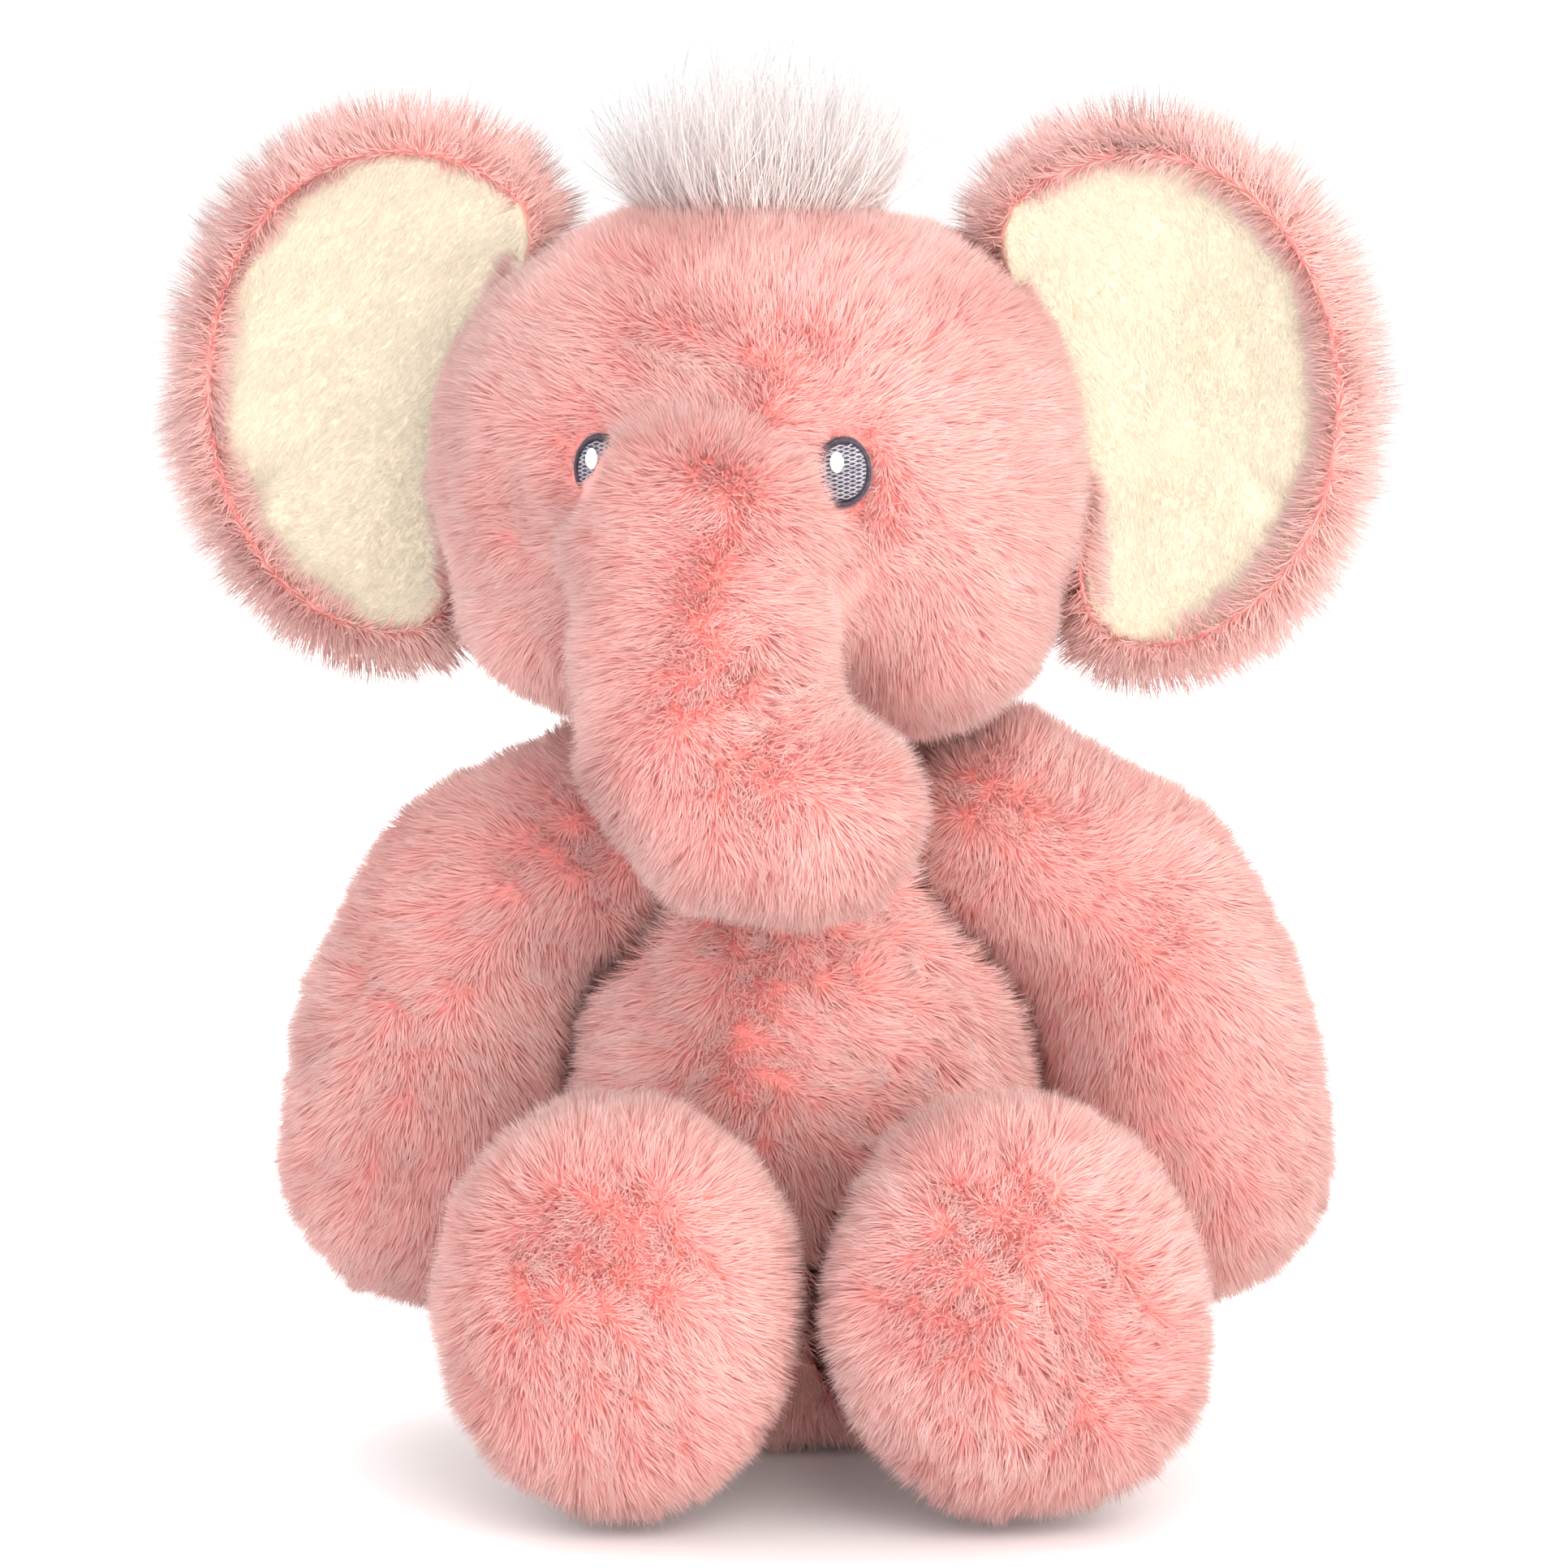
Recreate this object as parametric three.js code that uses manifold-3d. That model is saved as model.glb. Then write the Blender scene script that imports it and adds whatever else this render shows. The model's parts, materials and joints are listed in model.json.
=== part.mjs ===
// A seated plush elephant with long pile, lined ears, an embroidered face and a curled trunk.
// Millimetres, +Z up, the face towards -Y, and left and right as the elephant has them: left is +X.
// The origin is the middle of the flat seat. Every cover is a fabric shell cut into its sewn
// panels, round a separate stuffing, and every limb starts in a ball that turns in a socket.
import * as THREE from "three";
import { mergeVertices } from "three/addons/utils/BufferGeometryUtils.js";
import Module from "manifold-3d";

const wasm = await Module();
wasm.setup();

// Clearances and fabric
const PILE_FABRIC = 6; // backing and pile, measured through the panel
const SEAM_GAP = 0.5; // between two panels sewn edge to edge
const FILL_GAP = 0.5; // between a cover and its stuffing
const JOINT_GAP = 1.9; // between a limb and the socket that it turns in

// Torso
const SEAT_RADIUS = 35;
const BELLY_RADIUS = 49;
const BELLY_HEIGHT = 42;
const WAIST_RADIUS = 51; // where the arms lie against the torso
const WAIST_HEIGHT = 86;
const CHEST_RADIUS = 40;
const CHEST_HEIGHT = 128;
const TORSO_HEIGHT = 163;
const TORSO_DEPTH_SHARE = 0.92; // front to back against side to side
const TORSO_TOP_SHARE = 0.6; // of the chest's radius, where the top rounds over
const TORSO_TOP_DROP = 3; // from the top down to there
const SEAT_PANEL_HEIGHT = 11;
const POUCH_HALF_WIDTH = 22;
const POUCH_HALF_DEPTH = 12;
const POUCH_HALF_HEIGHT = 10;
const POUCH_BACK = 21; // behind the middle of the seat
const POUCH_WELL_SHARE = 0.8; // radius of the well under the pouch, of the pouch's half depth

// Neck
const NECK_RADIUS = 19;
const NECK_RISE = 10; // from the top of the torso up to the middle of the neck
const NECK_PIVOT = new THREE.Vector3(0, 2, TORSO_HEIGHT + NECK_RISE);

// Head, about its own middle
const HEAD_TURN = THREE.MathUtils.degToRad(-9);
const HEAD_HALF_WIDTH = 75;
const HEAD_HALF_DEPTH = 61;
const HEAD_HALF_HEIGHT = 60;
const HEAD_SETTLE = 8; // how far the chin sinks below the middle of the neck
const HEAD_ASIDE = -9.5; // the head leans to its own right of the torso's middle
const HEAD_FORWARD = -10;
const HEAD_CENTRE = new THREE.Vector3(
  HEAD_ASIDE,
  HEAD_FORWARD,
  NECK_PIVOT.z + HEAD_HALF_HEIGHT - HEAD_SETTLE,
);
const HEAD_SQUARENESS = 2.35; // 2 is an ellipsoid, more fills out the cheeks
const GUSSET_WIDTH = 34;
const TUFT_HALF_WIDTH = 30;
const TUFT_HALF_DEPTH = 20;
const TUFT_RISE = 24; // above the crown

// Eyes
const EYE_SPACING = 55;
const EYE_LIFT = 3;
const EYE_WIDTH = 12.5;
const EYE_HEIGHT = 15.5;
const EYE_OUTLINE = 1.2;
const EYE_THREAD = 1.6; // thickness of the embroidery
const EYE_SINK = 4.5; // from the pile's tips down to the embroidery's base
const EYE_CLEARANCE = 0.4;
const HIGHLIGHT_WIDTH = 2.8;
const HIGHLIGHT_HEIGHT = 4.6;
const HIGHLIGHT_ASIDE_SHARE = -0.12; // of the eye's width, from its middle
const HIGHLIGHT_UP_SHARE = 0.14; // of the eye's height, from its middle

// Ears
const EAR_HALF_WIDTH = 55;
const EAR_HALF_HEIGHT = 66.5;
const EAR_STANDOFF = 9; // from the head's side out to the ear's middle
const EAR_OUT = HEAD_HALF_WIDTH + EAR_STANDOFF; // from the head's middle to the ear's middle
const EAR_LIFT = 14;
const EAR_BACK = 8;
const EAR_THICKNESS = 11;
const EAR_RIM = 11; // width of the pile edge round the lining
const LINING_THICKNESS = 2.5;
const WADDING_THICKNESS = 3;
const EAR_PIVOT_SINK = 1; // the line the ear flaps about lies this far inside the head's side
const EAR_PIVOT_OUT = HEAD_HALF_WIDTH - EAR_PIVOT_SINK;
const EAR_FLAP = THREE.MathUtils.degToRad(22); // the room that the ear's inner edge leaves the head

// Trunk, in the head's frame
const TRUNK_ROOT_RADIUS = 25;
const TRUNK_MID_RADIUS = 27.5;
const TRUNK_TIP_RADIUS = 24;
const TRUNK_ROOT_SINK = 1; // the middle of the trunk's root lies this far inside the face
const TRUNK_FORWARD = 17; // from the root's middle forwards to the bend
const TRUNK_ROOT = new THREE.Vector3(0, TRUNK_ROOT_SINK - HEAD_HALF_DEPTH, -20);
const TRUNK_BEND = new THREE.Vector3(-1, TRUNK_ROOT.y - TRUNK_FORWARD, -55);
const TRUNK_TIP_REACH = 22; // how far the curled tip turns aside, to its middle
const TRUNK_TIP_DROP = 15;

// Legs
const HIP_RADIUS = 28;
const HIP_INSIDE = 6.5; // from the middle plane out to the hip's inner side
const HIP = new THREE.Vector3(HIP_RADIUS + HIP_INSIDE, -30, 38);
const SHIN_RADIUS = 27;
const FOOT_RADIUS = 42;
const FOOT_HEIGHT_SHARE = 1.14; // the foot is taller than it is wide
const LEG_LENGTH = 96; // hip to the sole
const FOOT_LENGTH = 52;
const FOOT_CLEARANCE = 1; // between the foot and what the seat rests on
const SOLE_DEPTH = 15;
const TOE_OUT = { left: 9, right: 5 }; // degrees

// Arms
const ARM_SHOULDER_RADIUS = 32.4;
const ARM_WRIST_RADIUS = 36;
const ARM_HAND_RADIUS = 35;
const ARM_DEPTH_SHARE = 0.92;
const SHOULDER_OUT = 5; // beyond the chest
const SHOULDER_BACK = 8;
const SHOULDER_DROP = 27; // below the top of the torso
const SHOULDER = new THREE.Vector3(
  CHEST_RADIUS + SHOULDER_OUT,
  SHOULDER_BACK,
  TORSO_HEIGHT - SHOULDER_DROP,
);
const HAND_TUCK = 11; // how far the hand reaches in over the widest part of the hip
const HAND_AT = HIP.x + HIP_RADIUS + ARM_HAND_RADIUS - HAND_TUCK; // middle plane to the hand's middle
const ARM_OUT = HAND_AT - SHOULDER.x; // out from the shoulder to the middle of the hand
const ARM_DROP = 77; // and down to it
const ARM_UPPER_SHARE = 0.3; // of the arm's length, as thick as the shoulder
const ARM_WRIST_SHARE = 0.65; // of the arm's length, down to the wrist
const ARM_FLAT_SHARE = 0.4; // of the arm's length, over which it flattens
const ARM_SPREAD = { left: 3, right: 2 }; // degrees that each arm hangs further out than that

// Tail
const TAIL_RADIUS = 5;
const TAIL_LENGTH = 34;
const TAIL_TUFT_RADIUS = 9;
const TAIL_HEIGHT = 50;
const TAIL_TUFT_BALL_SHARE = 0.8; // radius of the tuft's solid, of the reach of its hair
const TAIL_TUFT_BACK_SHARE = 0.4; // how far it sits behind the tail, of the same reach

// Detail of the faceted surfaces: fine outside, coarse inside the covers
const FINE = { around: 14, cap: 3, headAround: 18, headRings: 10, outline: 8, eye: 6 };
const COARSE = { around: 8, cap: 2, headAround: 10, headRings: 6, outline: 6 };
const detailOf = (inset) => (inset > 0 ? COARSE : FINE);

const colours = {
  pile: new THREE.MeshStandardMaterial({ color: 0xf5a8a2, roughness: 0.95, metalness: 0 }),
  lining: new THREE.MeshStandardMaterial({ color: 0xf6f0da, roughness: 0.9, metalness: 0 }),
  tuft: new THREE.MeshStandardMaterial({ color: 0xf8e3e2, roughness: 0.85, metalness: 0 }),
  fibre: new THREE.MeshStandardMaterial({ color: 0xf4f2ee, roughness: 1, metalness: 0 }),
  pouch: new THREE.MeshStandardMaterial({ color: 0xe9e6dd, roughness: 0.9, metalness: 0 }),
  darkThread: new THREE.MeshStandardMaterial({ color: 0x4b414e, roughness: 0.45, metalness: 0 }),
  greyThread: new THREE.MeshStandardMaterial({ color: 0x96949e, roughness: 0.45, metalness: 0 }),
  whiteThread: new THREE.MeshStandardMaterial({ color: 0xffffff, roughness: 0.45, metalness: 0 }),
};

const elephant = new THREE.Group();

// ---- Solids ----

// A closed geometry as a solid that can be joined and cut.
function solidOf(geometry) {
  const bare = geometry.clone();
  bare.deleteAttribute("normal");
  bare.deleteAttribute("uv");
  const merged = mergeVertices(bare, 1e-4);
  return new wasm.Manifold(
    new wasm.Mesh({
      numProp: 3,
      vertProperties: new Float32Array(merged.attributes.position.array),
      triVerts: new Uint32Array(merged.index.array),
    }),
  );
}

function addPiece(name, solid, material) {
  const mesh = solid.getMesh();
  const geometry = new THREE.BufferGeometry();
  const places = new Float32Array(mesh.vertProperties);
  geometry.setAttribute("position", new THREE.BufferAttribute(places, 3));
  geometry.setIndex(new THREE.BufferAttribute(new Uint32Array(mesh.triVerts), 1));
  const piece = new THREE.Mesh(geometry, material);
  piece.name = name;
  elephant.add(piece);
}

function block(low, high) {
  const size = new THREE.Vector3().subVectors(high, low);
  const middle = new THREE.Vector3().addVectors(low, high).multiplyScalar(0.5);
  return new THREE.BoxGeometry(size.x, size.y, size.z).translate(middle.x, middle.y, middle.z);
}

const REACH = 400; // further than the elephant goes in any direction

// The half of space on one side of a plane, in a frame of its own: axis is "x", "y" or "z".
function half(axis, from, side, frame = new THREE.Matrix4()) {
  const low = new THREE.Vector3(-REACH, -REACH, -REACH);
  const high = new THREE.Vector3(REACH, REACH, REACH);
  if (side > 0) low[axis] = from;
  else high[axis] = from;
  return solidOf(block(low, high).applyMatrix4(frame));
}

// The slice of space between two parallel planes.
function slice(axis, from, to, frame = new THREE.Matrix4()) {
  const low = new THREE.Vector3(-REACH, -REACH, -REACH);
  const high = new THREE.Vector3(REACH, REACH, REACH);
  low[axis] = from;
  high[axis] = to;
  return solidOf(block(low, high).applyMatrix4(frame));
}

function ball(centre, radius) {
  const { around } = FINE;
  const round = new THREE.SphereGeometry(radius, around, around / 2);
  return solidOf(round.translate(centre.x, centre.y, centre.z));
}

// A quarter circle of profile points round the end of a limb: the start closes on the axis below
// the first station, and the end closes on it above the last.
function capPoints(radius, at, steps, end) {
  const points = [];
  for (let i = 0; i < steps; i++) {
    const a = (Math.PI / 2) * (i / steps);
    points.push(new THREE.Vector2(i ? radius * Math.sin(a) : 0, at - end * radius * Math.cos(a)));
  }
  return end > 0 ? points : points.reverse();
}

// Bends a lathed solid, whose axis is Y, along a curve that lies in one plane. section gives the
// shares by which the solid is widened in the plane and across it, at a distance along the curve.
function bendAlong(solid, curve, planeNormal, section) {
  const length = curve.getLength();
  const at = solid.attributes.position;
  for (let i = 0; i < at.count; i++) {
    const distance = at.getY(i);
    const share = THREE.MathUtils.clamp(distance / length, 0, 1);
    const along = curve.getTangentAt(share);
    const across = new THREE.Vector3().crossVectors(along, planeNormal);
    const [inPlane, offPlane] = section(distance);
    const place = curve
      .getPointAt(share)
      .addScaledVector(along, distance - share * length)
      .addScaledVector(across, at.getX(i) * inPlane)
      .addScaledVector(planeNormal, at.getZ(i) * offPlane);
    at.setXYZ(i, place.x, place.y, place.z);
  }
  return solid;
}

const evenly = () => [1, 1];

// A stuffed tube with ball ends along a curve. stations lists [distance, radius] from its start.
function stuffedTube(curve, planeNormal, stations, inset, section = evenly) {
  const { around, cap } = detailOf(inset);
  const [start, startRadius] = stations[0];
  const [end, endRadius] = stations[stations.length - 1];
  const profile = [
    ...capPoints(startRadius - inset, start, cap, 1),
    ...stations.map(([distance, radius]) => new THREE.Vector2(radius - inset, distance)),
    ...capPoints(endRadius - inset, end, cap, -1),
  ];
  return bendAlong(new THREE.LatheGeometry(profile, around), curve, planeNormal, section);
}

// ---- Head frame ----

const headFrame = new THREE.Matrix4()
  .makeTranslation(HEAD_CENTRE.x, HEAD_CENTRE.y, HEAD_CENTRE.z)
  .multiply(new THREE.Matrix4().makeRotationZ(HEAD_TURN));

function headGeometry(inset) {
  const { headAround, headRings } = detailOf(inset);
  const skin = new THREE.SphereGeometry(1, headAround, headRings).rotateX(Math.PI / 2);
  const at = skin.attributes.position;
  const p = HEAD_SQUARENESS;
  for (let i = 0; i < at.count; i++) {
    const n = new THREE.Vector3().fromBufferAttribute(at, i).normalize();
    const k = (Math.abs(n.x) ** p + Math.abs(n.y) ** p + Math.abs(n.z) ** p) ** (-1 / p);
    at.setXYZ(
      i,
      n.x * k * (HEAD_HALF_WIDTH - inset),
      n.y * k * (HEAD_HALF_DEPTH - inset),
      n.z * k * (HEAD_HALF_HEIGHT - inset),
    );
  }
  return skin;
}

// The point of the face over a place given across and up, and the direction it faces.
function facePoint(across, up) {
  const p = HEAD_SQUARENESS;
  const rest = 1 - Math.abs(across / HEAD_HALF_WIDTH) ** p - Math.abs(up / HEAD_HALF_HEIGHT) ** p;
  const forward = rest ** (1 / p);
  const normal = new THREE.Vector3(
    (Math.sign(across) * Math.abs(across / HEAD_HALF_WIDTH) ** (p - 1)) / HEAD_HALF_WIDTH,
    -(forward ** (p - 1)) / HEAD_HALF_DEPTH,
    (Math.sign(up) * Math.abs(up / HEAD_HALF_HEIGHT) ** (p - 1)) / HEAD_HALF_HEIGHT,
  ).normalize();
  return { point: new THREE.Vector3(across, -forward * HEAD_HALF_DEPTH, up), normal };
}

// ---- Torso ----

function torsoGeometry(inset) {
  const outline = new THREE.SplineCurve([
    new THREE.Vector2(SEAT_RADIUS, 0),
    new THREE.Vector2((SEAT_RADIUS + BELLY_RADIUS * 2) / 3, SEAT_PANEL_HEIGHT),
    new THREE.Vector2(BELLY_RADIUS, BELLY_HEIGHT),
    new THREE.Vector2(WAIST_RADIUS, WAIST_HEIGHT),
    new THREE.Vector2(CHEST_RADIUS, CHEST_HEIGHT),
    new THREE.Vector2(CHEST_RADIUS * TORSO_TOP_SHARE, TORSO_HEIGHT - TORSO_TOP_DROP),
  ]).getPoints(detailOf(inset).cap * 3);
  const profile = [new THREE.Vector2(0, 0), ...outline, new THREE.Vector2(0, TORSO_HEIGHT)];
  for (const point of profile) {
    point.x *= 1 - inset / BELLY_RADIUS;
    point.y = inset + (point.y * (TORSO_HEIGHT - 2 * inset)) / TORSO_HEIGHT;
  }
  return new THREE.LatheGeometry(profile, detailOf(inset).headAround)
    .rotateX(Math.PI / 2)
    .scale(1, TORSO_DEPTH_SHARE, 1);
}

// ---- Limbs ----

const sides = { left: 1, right: -1 };

function shoulderAt(side) {
  return new THREE.Vector3(SHOULDER.x * sides[side], SHOULDER.y, SHOULDER.z);
}

function hipAt(side) {
  return new THREE.Vector3(HIP.x * sides[side], HIP.y, HIP.z);
}

// The arm leaves the shoulder outwards and curves down to the hand, a quarter of an ellipse.
function armGeometry(side, inset) {
  const out = sides[side];
  const shoulder = shoulderAt(side);
  const quarter = new THREE.EllipseCurve(
    0, -ARM_DROP, out * ARM_OUT, ARM_DROP, Math.PI / 2, 0, true,
  );
  const curve = new THREE.CatmullRomCurve3(
    quarter.getPoints(8).map((point) => new THREE.Vector3(point.x, 0, point.y)),
  );
  const length = curve.getLength();
  const stations = [
    [0, ARM_SHOULDER_RADIUS],
    [length * ARM_UPPER_SHARE, ARM_SHOULDER_RADIUS],
    [length * ARM_WRIST_SHARE, ARM_WRIST_RADIUS],
    [length, ARM_HAND_RADIUS],
  ];
  const section = (distance) => {
    const share = THREE.MathUtils.smoothstep(distance, 0, length * ARM_FLAT_SHARE);
    return [1, 1 - share * (1 - ARM_DEPTH_SHARE)];
  };
  return stuffedTube(curve, new THREE.Vector3(0, 1, 0), stations, inset, section)
    .rotateY(-out * THREE.MathUtils.degToRad(ARM_SPREAD[side]))
    .translate(shoulder.x, shoulder.y, shoulder.z);
}

function legFrame(side) {
  const hip = hipAt(side);
  const toeOut = sides[side] * THREE.MathUtils.degToRad(TOE_OUT[side]);
  return new THREE.Matrix4()
    .makeTranslation(hip.x, hip.y, hip.z)
    .multiply(new THREE.Matrix4().makeRotationZ(toeOut));
}

// The leg lies forwards from the hip and ends in an upright foot, which swells out of the ankle
// and rounds over to a sole that is nearly flat.
function legGeometry(side, inset) {
  const { around, cap } = detailOf(inset);
  const footMiddle = FOOT_CLEARANCE + FOOT_RADIUS * FOOT_HEIGHT_SHARE - HIP.z;
  const ankle = LEG_LENGTH - FOOT_LENGTH;
  const curve = new THREE.CatmullRomCurve3([
    new THREE.Vector3(0, 0, 0),
    new THREE.Vector3(0, -ankle * 0.6, footMiddle * 0.3),
    new THREE.Vector3(0, -ankle - FOOT_LENGTH * 0.4, footMiddle),
    new THREE.Vector3(0, -LEG_LENGTH, footMiddle),
  ]);
  const length = curve.getLength();
  const footBack = length - FOOT_LENGTH;
  const foot = new THREE.SplineCurve([
    new THREE.Vector2(SHIN_RADIUS * 1.15 - inset, footBack + inset * 0.5),
    new THREE.Vector2(FOOT_RADIUS * 0.96 - inset, footBack + FOOT_LENGTH * 0.28 + inset * 0.4),
    new THREE.Vector2(FOOT_RADIUS - inset, footBack + FOOT_LENGTH * 0.52),
    new THREE.Vector2(FOOT_RADIUS * 0.9 - inset, footBack + FOOT_LENGTH * 0.8 - inset * 0.6),
    new THREE.Vector2(FOOT_RADIUS * 0.6 - inset * 0.7, footBack + FOOT_LENGTH * 0.96 - inset),
  ]);
  const profile = [
    ...capPoints(HIP_RADIUS - inset, 0, cap, 1),
    new THREE.Vector2(HIP_RADIUS - inset, 0),
    new THREE.Vector2(SHIN_RADIUS - inset, ankle * 0.6),
    ...foot.getPoints(cap + 2),
    new THREE.Vector2(0, length - inset),
  ];
  const section = (distance) => {
    const swell = THREE.MathUtils.smoothstep(distance, ankle * 0.4, footBack + FOOT_LENGTH * 0.3);
    return [1 + (FOOT_HEIGHT_SHARE - 1) * swell, 1];
  };
  const straight = new THREE.LatheGeometry(profile, around);
  const leg = bendAlong(straight, curve, new THREE.Vector3(1, 0, 0), section);
  return leg.applyMatrix4(legFrame(side));
}

// ---- Trunk, in the head's frame ----

const trunkCurve = new THREE.CatmullRomCurve3([
  TRUNK_ROOT,
  new THREE.Vector3(TRUNK_BEND.x * 0.5, TRUNK_BEND.y + 3, (TRUNK_ROOT.z + TRUNK_BEND.z) / 2 + 3),
  TRUNK_BEND,
]);

function trunkGeometry(inset) {
  const stations = [
    [0, TRUNK_ROOT_RADIUS],
    [trunkCurve.getLength() * 0.5, TRUNK_MID_RADIUS],
    [trunkCurve.getLength(), TRUNK_MID_RADIUS],
  ];
  const trunk = stuffedTube(trunkCurve, new THREE.Vector3(1, 0, 0), stations, inset);
  return trunk.applyMatrix4(headFrame);
}

const tipCurve = new THREE.CatmullRomCurve3([
  TRUNK_BEND,
  new THREE.Vector3(
    TRUNK_BEND.x + TRUNK_TIP_REACH * 0.35,
    TRUNK_BEND.y,
    TRUNK_BEND.z - TRUNK_TIP_DROP * 0.8,
  ),
  new THREE.Vector3(TRUNK_BEND.x + TRUNK_TIP_REACH, TRUNK_BEND.y, TRUNK_BEND.z - TRUNK_TIP_DROP),
]);

function trunkTipGeometry(inset) {
  const stations = [
    [0, TRUNK_MID_RADIUS - JOINT_GAP],
    [tipCurve.getLength() * 0.5, (TRUNK_MID_RADIUS + TRUNK_TIP_RADIUS) / 2],
    [tipCurve.getLength(), TRUNK_TIP_RADIUS],
  ];
  const tip = stuffedTube(tipCurve, new THREE.Vector3(0, 1, 0), stations, inset);
  return tip.applyMatrix4(headFrame);
}

// ---- Outer solids, each drawn in by an inset, with its sockets widened by the same inset ----

const LEG_SWING_DOWN = 28; // degrees that the torso leaves a leg room to swing down
const LEG_SWING_UP = 11; // and to swing up
const TIP_CURL = 12; // degrees that the trunk leaves its tip room to curl up

function torsoBody(inset) {
  let body = solidOf(torsoGeometry(inset));
  const room = JOINT_GAP + inset;
  for (const side of ["left", "right"]) {
    body = body.subtract(ball(shoulderAt(side), ARM_SHOULDER_RADIUS + room));
    body = body.subtract(solidOf(armGeometry(side, -room)));
    body = body.subtract(ball(hipAt(side), HIP_RADIUS + room));
    for (const swing of [-LEG_SWING_UP, 0, LEG_SWING_DOWN]) {
      const radius = HIP_RADIUS + room;
      const thigh = new THREE.CylinderGeometry(radius, radius, REACH, FINE.around)
        .translate(0, -REACH / 2, 0)
        .rotateX(THREE.MathUtils.degToRad(swing))
        .applyMatrix4(legFrame(side));
      body = body.subtract(solidOf(thigh));
    }
  }
  return body.subtract(ball(NECK_PIVOT, NECK_RADIUS + room));
}

function headBody(inset) {
  const room = JOINT_GAP + inset;
  return solidOf(headGeometry(inset).applyMatrix4(headFrame))
    .subtract(ball(TRUNK_ROOT.clone().applyMatrix4(headFrame), TRUNK_ROOT_RADIUS + room))
    .subtract(solidOf(trunkGeometry(-room)))
    .subtract(ball(NECK_PIVOT, NECK_RADIUS + room));
}

function trunkBody(inset) {
  const room = JOINT_GAP + inset;
  const bend = TRUNK_BEND.clone().applyMatrix4(headFrame);
  const forwards = new THREE.Vector3(0, -1, 0).transformDirection(headFrame);
  const curl = new THREE.Matrix4().makeRotationAxis(forwards, THREE.MathUtils.degToRad(TIP_CURL));
  const curled = trunkTipGeometry(-room)
    .translate(-bend.x, -bend.y, -bend.z)
    .applyMatrix4(curl)
    .translate(bend.x, bend.y, bend.z);
  return solidOf(trunkGeometry(inset))
    .subtract(ball(bend, TRUNK_MID_RADIUS + room))
    .subtract(half("z", TRUNK_BEND.z + inset, -1, headFrame))
    .subtract(solidOf(trunkTipGeometry(-room)))
    .subtract(solidOf(curled));
}

function trunkTipBody(inset) {
  return solidOf(trunkTipGeometry(inset));
}

// The cover of a body: its outer solid less the same solid drawn in by the fabric.
function coverOf(body) {
  return body(0).subtract(body(PILE_FABRIC));
}

// Where two cuts only graze each other their facets can leave a speck of a void in the fibre,
// and it is filled.
function stuffingOf(body) {
  const bodies = body(PILE_FABRIC + FILL_GAP).decompose();
  return bodies.filter((part) => part.volume() > 0).reduce((whole, part) => whole.add(part));
}

// ---- Torso pieces ----

const torsoCover = coverOf(torsoBody);
const seam = SEAM_GAP / 2;
const aboveSeat = half("z", SEAT_PANEL_HEIGHT + seam, 1);
const back = torsoCover.intersect(half("y", seam, 1)).intersect(aboveSeat);
const front = torsoCover.intersect(half("y", -seam, -1)).intersect(aboveSeat);
addPiece("torso_front_panel", front, colours.pile);
addPiece("torso_back_left_panel", back.intersect(half("x", seam, 1)), colours.pile);
addPiece("torso_back_right_panel", back.intersect(half("x", -seam, -1)), colours.pile);
addPiece("seat_panel", torsoCover.intersect(half("z", SEAT_PANEL_HEIGHT - seam, -1)), colours.pile);

const pouchMiddle = new THREE.Vector3(
  0,
  POUCH_BACK,
  SEAT_PANEL_HEIGHT + PILE_FABRIC + POUCH_HALF_HEIGHT,
);
const pouch = (grow) =>
  solidOf(
    new THREE.SphereGeometry(1, COARSE.around, COARSE.around / 2)
      .rotateX(Math.PI / 2)
      .scale(POUCH_HALF_WIDTH + grow, POUCH_HALF_DEPTH + grow, POUCH_HALF_HEIGHT + grow)
      .translate(pouchMiddle.x, pouchMiddle.y, pouchMiddle.z),
  );
// The stuffing closes over the pouch from above and leaves it open below.
const wellRadius = POUCH_HALF_DEPTH * POUCH_WELL_SHARE;
const pouchWell = solidOf(
  new THREE.CylinderGeometry(wellRadius, wellRadius, pouchMiddle.z, FINE.around)
    .rotateX(Math.PI / 2)
    .translate(pouchMiddle.x, pouchMiddle.y, pouchMiddle.z / 2),
);
const torsoFibre = stuffingOf(torsoBody).subtract(pouch(FILL_GAP)).subtract(pouchWell);
addPiece("torso_stuffing", torsoFibre, colours.fibre);
addPiece("pellet_pouch", pouch(0), colours.pouch);

// ---- Neck ----

addPiece("neck_stuffing", ball(NECK_PIVOT, NECK_RADIUS), colours.fibre);

// ---- Arms and legs ----

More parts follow.
